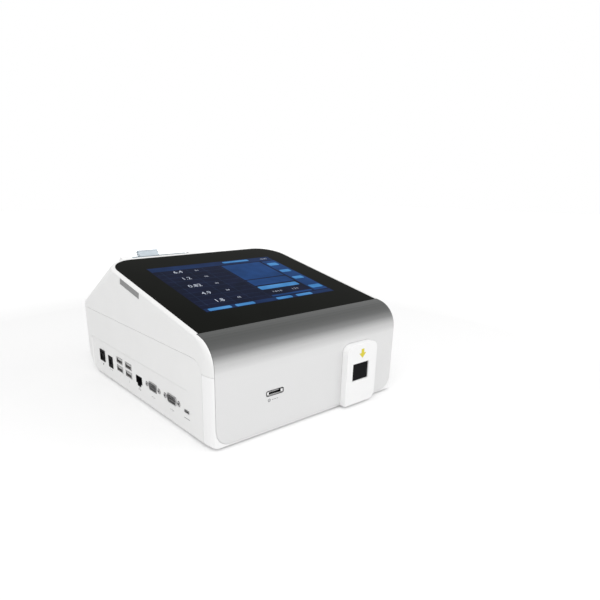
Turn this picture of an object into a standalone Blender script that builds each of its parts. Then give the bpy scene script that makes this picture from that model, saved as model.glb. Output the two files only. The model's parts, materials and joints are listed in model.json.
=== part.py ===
# Bench reader for rapid test cartridges, built piece by piece.
# Metres, +Z up. Pieces are placed from the front face (y = 0), the middle of the
# width (x = 0) and the underside of the case (z = 0); the empty "reader" carries them all.
import math

import bmesh
import bpy
from mathutils import Matrix, Vector

# Case
case_width = 0.228
case_depth = 0.270
case_wall = 0.0026
knee_height = 0.0772
knee_radius = 0.005
rear_bottom_radius = 0.025
rear_corner_radius = 0.006
seam_height = 0.0726
side_corner_radius = 0.013
front_frame_height = 0.0622
underside_chamfer = 0.001
fit_gap = 0.0003
overrun = 0.012

# Fascia and its shoulder
fascia_inset = 0.0033
fascia_thickness = 0.002
fascia_bottom = 0.0012
fascia_corner_radius = 0.014
shoulder_radius = 0.025
soft_edge_depth = 0.0146
soft_edge_end = 0.002

# Cover glass
glass_slope = math.radians(11.85)
glass_front_y = 0.0253
glass_front_z = 0.093
glass_length = 0.181
rim_width = 0.0051
glass_thickness = 0.003
glass_corner_radius = 0.028
crest_y = 0.2065
rim_round = 0.0012

# Screen and its carrier
screen_width = 0.174
screen_length = 0.134
screen_thickness = 0.006
screen_start = 0.029
bracket_wall = 0.002
ribbon_width = 0.03
ribbon_thickness = 0.0012

# Feet and screws
foot_height = 0.0025
foot_radius = 0.009
foot_recess = 0.001
foot_taper_share = 0.94
foot_inset = 0.028
foot_front_y = 0.033
foot_rear_inset = 0.038
post_radius = 0.005
post_well_radius = 0.0032
post_shelf = 0.004
post_inset = 0.0125
post_front_y = 0.0255
post_rear_inset = 0.0165
screw_head_radius = 0.0028
screw_head_height = 0.002
screw_radius = 0.0014
screw_grip = 0.006

# Port bay on the left wall
bay_depth = 0.001
bay_top = 0.0395
bay_front_y = 0.034
bay_rear_inset = 0.016
bay_radius = 0.008
bay_flare = 1.2
port_clearance = 0.0003

# Grip inlays under the rim
grip_start_y = 0.119
grip_length = 0.041
grip_height = 0.0055
grip_below_rim = 0.0018
grip_depth = 0.0012

# Slot cover on the front
slot_left = 0.0355
slot_right = 0.0777
slot_top = 0.0615
slot_proud = 0.007
slot_wall = 0.0024
slot_radius = 0.008
slot_edge_round = 0.0016
window_left = 0.0435
window_right = 0.0661
window_bottom = 0.0246
window_top = 0.0423

# Chip slot
chip_centre_x = -0.0488
chip_centre_z = 0.0355
chip_width = 0.0184
chip_height = 0.0038
chip_body_depth = 0.024
chip_body_wall = 0.002
chip_slot_depth = 0.018
tongue_height = 0.0012

# Cartridge drive
tray_length = 0.106
tray_base = 0.0032
tray_height = 0.0095
tray_wall = 0.0011
tray_bottom_z = 0.0272
pocket_start = 0.006
pocket_length = 0.072
tray_front_thickness = 0.0025
tray_setback = 0.0008
tray_edge_round = 0.0003
rack_width = 0.004
rack_sink = 0.0006
tooth_pitch = 0.0024
tooth_addendum = 0.0006
tooth_dedendum = 0.0008
pressure_angle = math.radians(20)
tooth_backlash = 0.0003
pinion_teeth = 14
pinion_y = 0.021
pinion_width = 0.0036
rail_wall = 0.003
rail_floor = 0.003
rail_length = 0.13
rail_leg_radius = 0.004
motor_radius = 0.009
motor_length = 0.022
motor_boss_share = 0.6
shaft_radius = 0.0014

# Reader head
head_start_y = 0.046
head_length = 0.05
head_above_tray = 0.0018
head_height = 0.026
lens_radius = 0.005
lens_length = 0.006
lens_taper_share = 0.9
head_board_thickness = 0.0016

# Main board and connectors
board_thickness = 0.0016
board_top = 0.0134
board_width = 0.075
board_start_y = 0.036
board_end_y = 0.212
board_post_radius = 0.0035
usb_width = 0.0147
usb_gap_height = 0.0048
usb_row_low = 0.0191
usb_row_high = 0.0283
usb_depth = 0.0175
usb_shell = 0.0008
usb_tongue = 0.0018
usb_front_y = 0.1592
usb_rear_y = 0.181
lan_y = 0.1351
lan_width = 0.0158
lan_height = 0.0135
lan_depth = 0.021
lan_cavity_width = 0.0118
lan_cavity_height = 0.0068
lan_notch_width = 0.006
lan_notch_height = 0.0028
lan_collar = 0.0005
serial_front_y = 0.0686
serial_rear_y = 0.1053
serial_z = 0.0219
serial_flange_width = 0.0308
serial_flange_height = 0.0124
serial_flange_thickness = 0.0008
serial_shell_width = 0.0182
serial_shell_height = 0.0088
serial_lean_share = 0.18
serial_proud = 0.0005
serial_shell_wall = 0.0008
serial_core_setback = 0.0036
serial_body_depth = 0.012
jack_post_spacing = 0.025
jack_post_radius = 0.0026
power_jack_y = 0.2054
power_jack_z = 0.0203
power_jack_width = 0.0116
power_jack_height = 0.0132
power_jack_depth = 0.014
power_jack_bore = 0.0031
power_bore_share = 0.75
power_jack_pin = 0.001
switch_y = 0.227
switch_z = 0.0226
switch_width = 0.012
switch_height = 0.0118
switch_depth = 0.014
switch_wall = 0.0014
switch_lip = 0.0006
switch_lip_thickness = 0.0006
rocker_pivot_depth = 0.0045
rocker_swing = math.radians(9)
rocker_pin_radius = 0.001
service_y = 0.0423
service_z = 0.0192
service_width = 0.0078
service_height = 0.0028
service_depth = 0.006

# Printer on the rear slope
printer_left = -0.088
printer_right = 0.009
cheek_left_width = 0.012
cheek_right_width = 0.0145
collar_start = 0.003
collar_end = 0.078
bar_width = 0.0045
bar_proud = 0.0018
cheek_proud = 0.006
collar_depth = 0.0055
roll_radius = 0.019
roll_core_radius = 0.006
roll_width = 0.057
roll_down_slope = 0.044
roll_under_slope = 0.0245
tub_wall = 0.002
tub_clearance = 0.0015
lid_start = 0.0085
lid_wall = 0.0018
lid_front_rise = 0.0085
lid_corner_radius = 0.003
hinge_down_slope = 0.0695
hinge_out = 0.0024
hinge_barrel_radius = 0.003
hinge_pin_radius = 0.0012
tab_left = -0.064
tab_right = -0.040
tab_rise = 0.0065
tab_length = 0.0045
platen_radius = 0.0042
platen_down_slope = 0.011
platen_under_slope = 0.0066
platen_shaft_radius = 0.0014
print_head_thickness = 0.003
print_head_height = 0.012
gear_thickness = 0.0035
gear_pitch = 0.0018
gear_tooth_depth = 0.0012
gear_backlash = 0.00025
gear_addendum_share = 0.45
tear_tooth = 0.002
platen_gear_teeth = 18
motor_gear_teeth = 10
printer_motor_radius = 0.006
printer_motor_length = 0.012

half_width = case_width / 2
fascia_width = case_width - 2 * fascia_inset
half_fascia = fascia_width / 2
glass_width = case_width - 2 * rim_width
foot_x = half_width - foot_inset
post_x = half_width - post_inset
foot_rear_y = case_depth - foot_rear_inset
post_rear_y = case_depth - post_rear_inset
bay_rear_y = case_depth - bay_rear_inset
slope_sin = math.sin(glass_slope)
slope_cos = math.cos(glass_slope)
crest_z = glass_front_z + (crest_y - glass_front_y) * slope_sin / slope_cos
rear_angle = math.atan2(crest_z - knee_height, case_depth - crest_y)
crest_outline_radius = glass_corner_radius + half_width - glass_width / 2

# Scene and shared objects

for old in list(bpy.data.objects):
    bpy.data.objects.remove(old, do_unlink=True)

scene = bpy.context.scene
parts = bpy.data.collections.new("rapid_test_reader")
cutters = bpy.data.collections.new("cutters")
scene.collection.children.link(parts)
scene.collection.children.link(cutters)

reader = bpy.data.objects.new("reader", None)
reader.location = (0, (slot_proud - case_depth) / 2, foot_height)
parts.objects.link(reader)


def finish(name, color, roughness, metallic=0.0, alpha=1.0):
    material = bpy.data.materials.new(name)
    material.use_nodes = True
    shader = material.node_tree.nodes["Principled BSDF"]
    shader.inputs["Base Color"].default_value = (*color, 1.0)
    shader.inputs["Roughness"].default_value = roughness
    shader.inputs["Metallic"].default_value = metallic
    shader.inputs["Alpha"].default_value = alpha
    return material


white_plastic = finish("white_plastic", (0.86, 0.86, 0.85), 0.45)
frame_plastic = finish("frame_plastic", (0.93, 0.93, 0.92), 0.4)
satin_silver = finish("satin_silver", (0.62, 0.62, 0.62), 0.35, 0.7)
black_glass = finish("black_glass", (0.012, 0.012, 0.013), 0.06)
black_plastic = finish("black_plastic", (0.02, 0.02, 0.021), 0.5)
gray_rubber = finish("gray_rubber", (0.27, 0.27, 0.27), 0.8)
board_green = finish("board_green", (0.02, 0.12, 0.05), 0.5)
bright_metal = finish("bright_metal", (0.6, 0.6, 0.6), 0.3, 1.0)
clear_plastic = finish("clear_plastic", (0.75, 0.85, 0.95), 0.1, 0.0, 0.4)
gear_plastic = finish("gear_plastic", (0.85, 0.83, 0.76), 0.5)
paper_white = finish("paper_white", (0.9, 0.9, 0.88), 0.9)
screen_black = finish("screen_black", (0.01, 0.015, 0.03), 0.2)


def place(name, mesh, material=None, at=(0, 0, 0)):
    # A material makes it a piece; without one it is a cutter.
    thing = bpy.data.objects.new(name, mesh)
    thing.parent = reader
    thing.location = at
    if material is None:
        cutters.objects.link(thing)
        thing.hide_render = True
        thing.display_type = "WIRE"
    else:
        mesh.materials.clear()
        mesh.materials.append(material)
        parts.objects.link(thing)
    return thing


def shade(mesh, sharp=math.radians(35)):
    mesh.shade_smooth()
    mesh.set_sharp_from_angle(angle=sharp)
    return mesh


def mesh_of(name, bm):
    bmesh.ops.recalc_face_normals(bm, faces=bm.faces)
    mesh = bpy.data.meshes.new(name)
    bm.to_mesh(mesh)
    bm.free()
    return shade(mesh)


def block(name, low, high, rounding=0.0, steps=2):
    bm = bmesh.new()
    bmesh.ops.create_cube(bm, size=1)
    size = [b - a for a, b in zip(low, high)]
    middle = [(a + b) / 2 for a, b in zip(low, high)]
    bmesh.ops.scale(bm, vec=size, verts=bm.verts)
    bmesh.ops.translate(bm, vec=middle, verts=bm.verts)
    if rounding:
        bmesh.ops.bevel(bm, geom=bm.edges[:], offset=rounding, segments=steps, profile=0.5,
                        affect="EDGES")
    return mesh_of(name, bm)


axis_turns = {
    "X": Matrix.Rotation(math.pi / 2, 4, "Y"),
    "Y": Matrix.Rotation(-math.pi / 2, 4, "X"),
    "Z": Matrix.Identity(4),
}


def rod(name, start, axis, radius, length, sides=24, end_radius=None):
    # A cylinder or cone that runs from start along +axis.
    bm = bmesh.new()
    tip = radius if end_radius is None else end_radius
    bmesh.ops.create_cone(bm, cap_ends=True, segments=sides, radius1=radius, radius2=tip, depth=length)
    bmesh.ops.translate(bm, vec=(0, 0, length / 2), verts=bm.verts)
    bmesh.ops.transform(bm, matrix=axis_turns[axis], verts=bm.verts)
    bmesh.ops.translate(bm, vec=start, verts=bm.verts)
    return mesh_of(name, bm)


# Outlines are drawn flat and stood up: "front" outlines are (x, z), "side" ones (y, z).
stand_up = {
    "front": Matrix(((1, 0, 0, 0), (0, 0, 1, 0), (0, 1, 0, 0), (0, 0, 0, 1))),
    "side": Matrix(((0, 0, 1, 0), (1, 0, 0, 0), (0, 1, 0, 0), (0, 0, 0, 1))),
    "top": Matrix.Identity(4),
}


def sheet(name, loops, low, high, view):
    # Outline with holes, extruded from low to high along the view's own axis.
    curve = bpy.data.curves.new(name, "CURVE")
    curve.dimensions = "2D"
    curve.fill_mode = "BOTH"
    curve.extrude = (high - low) / 2
    for loop in loops:
        spline = curve.splines.new("POLY")
        spline.points.add(len(loop) - 1)
        for point, (u, v) in zip(spline.points, loop):
            point.co = (u, v, 0, 1)
        spline.use_cyclic_u = True
    guide = bpy.data.objects.new(name, curve)
    scene.collection.objects.link(guide)
    mesh = bpy.data.meshes.new_from_object(guide.evaluated_get(bpy.context.evaluated_depsgraph_get()))
    bpy.data.objects.remove(guide)
    bm = bmesh.new()
    bm.from_mesh(mesh)
    bpy.data.meshes.remove(mesh)
    bmesh.ops.remove_doubles(bm, verts=bm.verts, dist=fit_gap / 100)
    bmesh.ops.translate(bm, vec=(0, 0, (high + low) / 2), verts=bm.verts)
    bmesh.ops.transform(bm, matrix=stand_up[view], verts=bm.verts)
    return mesh_of(name, bm)


def rounded(corners, steps=5):
    # Corners are (u, v) or (u, v, radius); each radius becomes an arc.
    outline = []
    count = len(corners)
    for i, corner in enumerate(corners):
        here = Vector(corner[:2])
        radius = corner[2] if len(corner) > 2 else 0
        if not radius:
            outline.append(tuple(here))
            continue
        back = (Vector(corners[i - 1][:2]) - here).normalized()
        ahead = (Vector(corners[(i + 1) % count][:2]) - here).normalized()
        half = back.angle(ahead) / 2
        centre = here + (back + ahead).normalized() * radius / math.sin(half)
        start = here + back * radius / math.tan(half) - centre
        end = here + ahead * radius / math.tan(half) - centre
        sweep = math.atan2(start.cross(end), start.dot(end))
        for k in range(steps + 1):
            turn = Matrix.Rotation(sweep * k / steps, 2)
            outline.append(tuple(centre + turn @ start))
    return outline


def rectangle(u0, v0, u1, v1, radius=0.0, steps=5):
    return rounded([(u0, v0, radius), (u1, v0, radius), (u1, v1, radius), (u0, v1, radius)], steps)


many_faced = ("cartridge_tray", "printer_frame", "lan_jack")


def boolean(target, tool, operation):
    step = target.modifiers.new(tool.name, "BOOLEAN")
    step.operation = operation
    step.solver = "MANIFOLD" if target.name in many_faced else "EXACT"
    step.object = tool


def cut(target, name, mesh):
    boolean(target, place(name, mesh), "DIFFERENCE")


def add(target, name, mesh):
    boolean(target, place(name, mesh), "UNION")


# Directions on the two slopes

def on_glass(x, along, up=0.0):
    # along runs up the glass from its front edge, up is square to it
    return Vector((x, glass_front_y + along * slope_cos - up * slope_sin,
                   glass_front_z + along * slope_sin + up * slope_cos))


def on_slope(x, down, out=0.0):
    # down runs from the crest down the rear slope, out is square to it
    return Vector((x, crest_y + down * math.cos(rear_angle) + out * math.sin(rear_angle),
                   crest_z - down * math.sin(rear_angle) + out * math.cos(rear_angle)))


glass_frame = Matrix.Translation(on_glass(0, 0)) @ Matrix.Rotation(glass_slope, 4, "X")
slope_frame = Matrix.Translation(on_slope(0, 0)) @ Matrix.Rotation(-rear_angle, 4, "X")


def moved(mesh, matrix):
    mesh.transform(matrix)
    return mesh


# Outer form of the case, also used set in by the wall for its hollow

def fillet(before, corner, after, radius, steps=4):
    return rounded([before, (*corner, radius), after], steps)[1:-1]


def case_form(name, inset, side_inset=0.0, soft=True):
    bm = bmesh.new()

    def corner_points(y, z, x_half, radius, steps=3):
        # A rear corner of the plan outline at height z, on both sides
        for side in (-1, 1):
            for k in range(steps + 1):
                angle = math.pi / 2 * k / steps
                x = x_half - radius + radius * math.sin(angle)
                bm.verts.new((side * x, y - radius + radius * math.cos(angle), z))

    half = half_width - side_inset
    rear = case_depth - inset
    arc_y = shoulder_radius
    arc_z = glass_front_z - (shoulder_radius - (shoulder_radius - glass_front_y) * slope_sin) / slope_cos
    arc_steps = 7
    soft_steps = 4 if soft else 0
    for k in range(soft_steps + 1):
        around = math.pi / 2 * k / soft_steps if soft else math.pi / 2
        x = half_fascia + (half_width - half_fascia) * math.sin(around) - side_inset
        for i in range(arc_steps + 1):
            turn = (math.pi / 2 - glass_slope) * i / arc_steps
            fade = soft_edge_depth + (soft_edge_end - soft_edge_depth) * i / arc_steps
            radius = shoulder_radius - inset - (fade * (1 - math.cos(around)) if soft else 0)
            y = arc_y - radius * math.cos(turn)
            z = arc_z + radius * math.sin(turn)
            for side in (-1, 1):
                bm.verts.new((side * x, y, z))
                if i == 0:
                    bm.verts.new((side * (x - underside_chamfer), y, inset))
                    bm.verts.new((side * x, y, inset + underside_chamfer))

    # Rim round the glass: rounded rear corners of a large radius
    for k in range(3):
        around = math.pi / 4 * k
        out = rim_round * math.sin(around)
        down = rim_round * (1 - math.cos(around))
        radius = crest_outline_radius - rim_round + out - inset
        x = half - rim_round + out
        rim_end = (crest_y - glass_front_y) / slope_cos - rim_round + out - inset
        for side in (-1, 1):
            bm.verts.new(on_glass(side * x, 0, -down - inset))
            for step in range(7):
                angle = math.pi / 2 * step / 6
                along = rim_end - radius + radius * math.cos(angle)
                bm.verts.new(on_glass(side * (x - radius + radius * math.sin(angle)), along, -down - inset))

    knee_in = inset * math.tan((math.pi / 2 - rear_angle) / 2)
    knee = (rear, knee_height - knee_in)
    crest = on_slope(0, 0, -inset)
    radius = max(rear_corner_radius - inset, fit_gap)
    for y, z in fillet((crest.y, crest.z), knee, (rear, inset), knee_radius):
        corner_points(y, z, half, radius)
    bottom = fillet(knee, (rear, inset), (0, inset), rear_bottom_radius - inset, 6)
    for y, z in bottom:
        corner_points(y, z + (underside_chamfer if z == inset else 0), half, radius)
    for side in (-1, 1):
        bm.verts.new((side * (half - underside_chamfer), bottom[-1][0], inset))

    hull = bmesh.ops.convex_hull(bm, input=bm.verts)
    loose = {v for v in hull["geom_interior"] + hull["geom_unused"] if isinstance(v, bmesh.types.BMVert)}
    bmesh.ops.delete(bm, geom=list(loose), context="VERTS")
    bmesh.ops.dissolve_limit(bm, angle_limit=math.radians(0.2), verts=bm.verts, edges=bm.edges)
    return mesh_of(name, bm)


far = case_depth + overrun
wide = half_width + overrun


def seam_outline(grow):
    # What lies under the seam, grown by the gap: the side panel has a round front corner
    return rounded([(-overrun, -overrun), (far, -overrun), (far, seam_height + grow),
                    (soft_edge_depth, seam_height + grow, side_corner_radius),
                    (soft_edge_depth, front_frame_height + grow), (-overrun, front_frame_height + grow)])


def hollow_shell(name, material, inset):
    shell = place(name, case_form(name, 0), material)
    cut(shell, name + "_hollow", case_form(name + "_hollow", inset, case_wall, False))
    return shell


def screw_posts():
    for x in (-post_x, post_x):
        for y in (post_front_y, post_rear_y):
            yield x, y


def flared(name, outline):
    # The bay's cutter: its walls lean outwards
    bm = bmesh.new()
    middle = (bay_front_y + bay_rear_y) / 2
    reach = bay_depth + overrun
    for y, z in outline:
        bm.verts.new((bay_depth - half_width, y, z))
        side = 1 if y > middle else -1
        lift = bay_flare * reach if z > bay_top - bay_radius else 0
        bm.verts.new((-half_width - overrun, y + side * bay_flare * reach, z + lift))
    bmesh.ops.convex_hull(bm, input=bm.verts)
    return mesh_of(name, bm)


def make_lower_housing():
    shell = hollow_shell("lower_housing", white_plastic, case_wall)
    for index, (x, y) in enumerate(screw_posts()):
        add(shell, f"post_{index}", rod("post", (x, y, case_wall / 2), "Z", post_radius,
                                        seam_height - case_wall / 2))
    for index, (x, y) in enumerate(board_posts()):
        add(shell, f"board_post_{index}",
            rod("board_post", (x, y, case_wall / 2), "Z", board_post_radius,
                board_top - board_thickness - fit_gap - case_wall / 2, 12))
    keep = rounded([(soft_edge_depth, -overrun), (far, -overrun), (far, seam_height),
                    (soft_edge_depth, seam_height, side_corner_radius)])
    boolean(shell, place("lower_region", sheet("lower_region", [keep], -wide, wide, "side")), "INTERSECT")
    for index, (x, y) in enumerate(screw_posts()):
        shelf = seam_height - post_shelf
        cut(shell, f"post_well_{index}", rod("well", (x, y, -overrun), "Z", post_well_radius, overrun + shelf))
        cut(shell, f"post_bore_{index}", rod("bore", (x, y, shelf - fit_gap), "Z",
                                             screw_radius + fit_gap, overrun, 16))
    for index, (x, y) in enumerate(feet()):
        cut(shell, f"foot_recess_{index}", rod("recess", (x, y, -overrun), "Z",
                                               foot_radius + fit_gap, overrun + foot_recess))
    bay = rounded([(bay_front_y, -overrun), (bay_rear_y, -overrun), (bay_rear_y, bay_top, bay_radius / 2),
                   (bay_front_y, bay_top, bay_radius)])
    cut(shell, "port_bay", flared("port_bay", bay))
    for name, outline in port_holes().items():
        cut(shell, name + "_hole", sheet(name + "_hole", [outline], -wide, overrun - half_width, "side"))


def make_upper_housing():
    shell = hollow_shell("upper_housing", white_plastic, glass_thickness + fit_gap + case_wall)
    for index, (x, y) in enumerate(screw_posts()):
        roof = glass_front_z if y < crest_y else knee_height + (case_depth - y) / 2
        add(shell, f"boss_{index}", rod("boss", (x, y, seam_height), "Z", post_radius,
                                        roof - case_wall - seam_height))
    cut(shell, "below_seam", sheet("below_seam", [seam_outline(fit_gap)], -wide, wide, "side"))
    for index, (x, y) in enumerate(screw_posts()):
        cut(shell, f"boss_bore_{index}", rod("bore", (x, y, seam_height - overrun), "Z", screw_radius + fit_gap,
                                             overrun + screw_grip, 16))
    cut(shell, "fascia_seat", fascia_mesh("fascia_seat", fit_gap, -overrun, fascia_thickness + fit_gap))
    cut(shell, "glass_seat", glass_mesh("glass_seat", fit_gap, -glass_thickness - fit_gap, overrun))
    gap = fit_gap
    opening = rectangle(-screen_width / 2 - gap, screen_start - gap, screen_width / 2 + gap,
                        screen_start + screen_length + gap)
    cut(shell, "screen_opening", moved(sheet("screen_opening", [opening], -glass_thickness - overrun,
                                             glass_thickness, "top"), glass_frame))
    for side, sign in (("left", -1), ("right", 1)):
        cut(shell, f"grip_seat_{side}", grip_mesh(f"grip_seat_{side}", sign, fit_gap))
    slot = rectangle(printer_left - fit_gap, collar_start - fit_gap, printer_right + fit_gap,
                     collar_end + fit_gap)
    cut(shell, "printer_opening", moved(sheet("printer_opening", [slot], -collar_depth - overrun,
                                              overrun, "top"), slope_frame))


# Front: fascia, frame, glass and slot cover

def fascia_profile(offset, low_z, along):
    # The front line, the shoulder arc and the run up to the glass, set in by offset
    centre_z = glass_front_z - (shoulder_radius - (shoulder_radius - glass_front_y) * slope_sin) / slope_cos
    steps = 10
    points = [(offset, low_z)]
    for i in range(steps + 1):
        turn = (math.pi / 2 - glass_slope) * i / steps
        radius = shoulder_radius - offset
        points.append((shoulder_radius - radius * math.cos(turn), centre_z + radius * math.sin(turn)))
    points.append(tuple(on_glass(0, along, -offset).yz))
    return points


def fascia_mesh(name, grow, outer, inner):
    low = fascia_bottom - grow
    along = grow if grow else -fit_gap
    outline = fascia_profile(outer, low, along) + fascia_profile(inner, low, along)[::-1]
    return sheet(name, [outline], -half_fascia - grow, half_fascia + grow, "side")


def fascia_front(name, grow):
    # Front view of the fascia with its round lower corners
    radius = fascia_corner_radius + grow
    left = -half_fascia - grow
    low = fascia_bottom - grow
    outline = rounded([(left, low, radius), (-left, low, radius), (-left, glass_front_z + overrun),
                       (left, glass_front_z + overrun)])
    return sheet(name, [outline], -2 * overrun, glass_front_y + overrun, "front")


def slot_outline(grow, low=0.0):
    radius = slot_radius + grow
    return rounded([(slot_left - grow, low), (slot_right + grow, low, radius),
                    (slot_right + grow, slot_top + grow, radius), (slot_left - grow, slot_top + grow, radius)])


def window_outline(grow):
    return rectangle(window_left - grow, window_bottom - grow, window_right + grow, window_top + grow)


def chip_outline(width, height, radius=0.0):
    return rectangle(chip_centre_x - width / 2, chip_centre_z - height / 2,
                     chip_centre_x + width / 2, chip_centre_z + height / 2, radius)


def make_fascia():
    panel = place("front_panel", fascia_mesh("front_panel", 0, 0, fascia_thickness), satin_silver)
    boolean(panel, place("fascia_outline", fascia_front("fascia_outline", 0)), "INTERSECT")
    cut(panel, "slot_cutout", sheet("slot_cutout", [slot_outline(fit_gap, -overrun)], -overrun, overrun, "front"))
    hole = chip_outline(chip_width, chip_height, chip_height / 3)
    cut(panel, "chip_hole", sheet("chip_hole", [hole], -overrun, overrun, "front"))


def make_front_frame():
    frame = place("front_frame", case_form("front_frame", 0), frame_plastic)
    region = rectangle(-overrun, -overrun, soft_edge_depth - fit_gap, front_frame_height)
    boolean(frame, place("frame_region", sheet("frame_region", [region], -wide, wide, "side")), "INTERSECT")
    seat = place("frame_seat", fascia_mesh("frame_seat", fit_gap, -overrun, fascia_thickness + fit_gap))
    boolean(seat, place("frame_seat_outline", fascia_front("frame_seat_outline", fit_gap)), "INTERSECT")
    boolean(frame, seat, "DIFFERENCE")
    back = fascia_thickness + fit_gap + case_wall
    cut(frame, "frame_hollow", block("frame_hollow", (case_wall - half_fascia, back, case_wall),
                                     (half_fascia - case_wall, soft_edge_depth + overrun, case_depth)))
    cut(frame, "frame_slot_seat", sheet("frame_slot_seat", [slot_outline(fit_gap, -overrun)], -overrun,
                                        fascia_thickness + fit_gap, "front"))
    cut(frame, "frame_window", sheet("frame_window", [window_outline(fit_gap)], -overrun, overrun, "front"))
    socket = chip_outline(chip_width + 2 * (chip_body_wall + fit_gap), chip_height + 2 * (chip_body_wall + fit_gap))
    cut(frame, "frame_chip_hole", sheet("frame_chip_hole", [socket], -overrun, overrun, "front"))


def glass_mesh(name, grow, low, high):
    half = glass_width / 2 + grow
    end = glass_length + grow
    radius = glass_corner_radius + grow
    outline = rounded([(-half, -grow), (half, -grow), (half, end, radius), (-half, end, radius)], 8)
    return moved(sheet(name, [outline], low, high, "top"), glass_frame)


def make_glass():
    place("cover_glass", glass_mesh("cover_glass", 0, -glass_thickness, 0), black_glass)


def make_screen():
    top = -glass_thickness - fit_gap
    low = top - screen_thickness
    half = screen_width / 2
    end = screen_start + screen_length
    panel = block("screen_module", (-half, screen_start, low), (half, end, top))
    place("screen_module", moved(panel, glass_frame), screen_black)
    rim = 2 * bracket_wall
    ceiling = top - case_wall - fit_gap
    tray = block("screen_bracket", (-half - rim, screen_start - rim, low - fit_gap - bracket_wall),
                 (half + rim, end + rim, ceiling))
    bracket = place("screen_bracket", moved(tray, glass_frame), bright_metal)
    pocket = block("bracket_pocket", (-half - fit_gap, screen_start - fit_gap, low - fit_gap),
                   (half + fit_gap, end + fit_gap, overrun))
    cut(bracket, "bracket_pocket", moved(pocket, glass_frame))
    border = 8 * bracket_wall
    window = block("bracket_window", (-half + border, screen_start + border, low - overrun),
                   (half - border, end - border, overrun))
    cut(bracket, "bracket_window", moved(window, glass_frame))


def grip_mesh(name, sign, grow):
    # A slim inlay that runs beside the glass, just under the rim
    start = (grip_start_y - glass_front_y) / slope_cos - grow
    low = -grip_below_rim - grip_height - grow
    outline = rectangle(start, low, start + grip_length + 2 * grow, -grip_below_rim + grow)
    inner = half_width - grip_depth - grow
    outer = half_width + (overrun if grow else -fit_gap)
    spans = (inner, outer) if sign > 0 else (-outer, -inner)
    return moved(sheet(name, [outline], *spans, "side"), glass_frame)


def make_grips():
    for side, sign in (("left", -1), ("right", 1)):
        place(f"grip_inlay_{side}", grip_mesh(f"grip_inlay_{side}", sign, 0), gray_rubber)


def make_slot_cover():
    body = sheet("slot_cover", [slot_outline(0)], -slot_proud, fascia_thickness, "front")
    bm = bmesh.new()
    bm.from_mesh(body)
    front = [e for e in bm.edges if all(abs(v.co.y + slot_proud) < fit_gap for v in e.verts)
             and len(e.link_faces) == 2 and e.calc_face_angle(0) > 1]
    bmesh.ops.bevel(bm, geom=front, offset=slot_edge_round, segments=3, profile=0.5, affect="EDGES",
                    clamp_overlap=True)
    cover = place("slot_cover", mesh_of("slot_cover", bm), frame_plastic)
    hollow = sheet("slot_hollow", [slot_outline(-slot_wall, slot_wall)], slot_wall - slot_proud, overrun, "front")
    cut(cover, "slot_hollow", hollow)
    cut(cover, "slot_window", sheet("slot_window", [window_outline(0)], -overrun, overrun, "front"))


# Gears and rack, with true involute flanks

def involute(angle):
    return math.tan(angle) - angle


def gear_outline(teeth, pitch, addendum, dedendum, backlash, phase=0.0):
    radius = teeth * pitch / (2 * math.pi)
    base = radius * math.cos(pressure_angle)
    root = radius - dedendum
    tip = radius + addendum
    flank = [root] + [base + (tip - base) * k / 3 for k in range(4)] if base > root else \
            [root + (tip - root) * k / 4 for k in range(5)]
    half_tooth = math.pi / (2 * teeth) - backlash / (2 * radius)

    def half_angle(r):
        lean = math.acos(min(1.0, base / max(r, base)))
        return half_tooth + involute(pressure_angle) - involute(lean)

    outline = []
    for tooth in range(teeth):
        middle = phase + 2 * math.pi * tooth / teeth
        for r in flank:
            angle = middle - half_angle(r)
            outline.append((r * math.cos(angle), r * math.sin(angle)))
        for r in reversed(flank):
            angle = middle + half_angle(r)
            outline.append((r * math.cos(angle), r * math.sin(angle)))
    return outline


def circle(u, v, radius, steps=20):
    return [(u + radius * math.cos(2 * math.pi * k / steps), v + radius * math.sin(2 * math.pi * k / steps))
            for k in range(steps)]


tray_middle_x = (window_left + window_right) / 2
tray_half = (window_right - window_left) / 2 - fit_gap
tray_front_y = tray_setback - slot_proud
tray_top_z = tray_bottom_z + tray_height
pinion_radius = pinion_teeth * tooth_pitch / (2 * math.pi)
rack_root_z = tray_bottom_z - fit_gap
pitch_z = rack_root_z - tooth_dedendum
pinion_z = pitch_z - pinion_radius
rail_inner = tray_half + fit_gap
rail_outer = rail_inner + rail_wall
rail_top = tray_top_z + head_above_tray - fit_gap
rail_floor_top = tray_bottom_z - fit_gap
rail_start_y = fascia_thickness + case_wall + 2 * fit_gap


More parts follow.
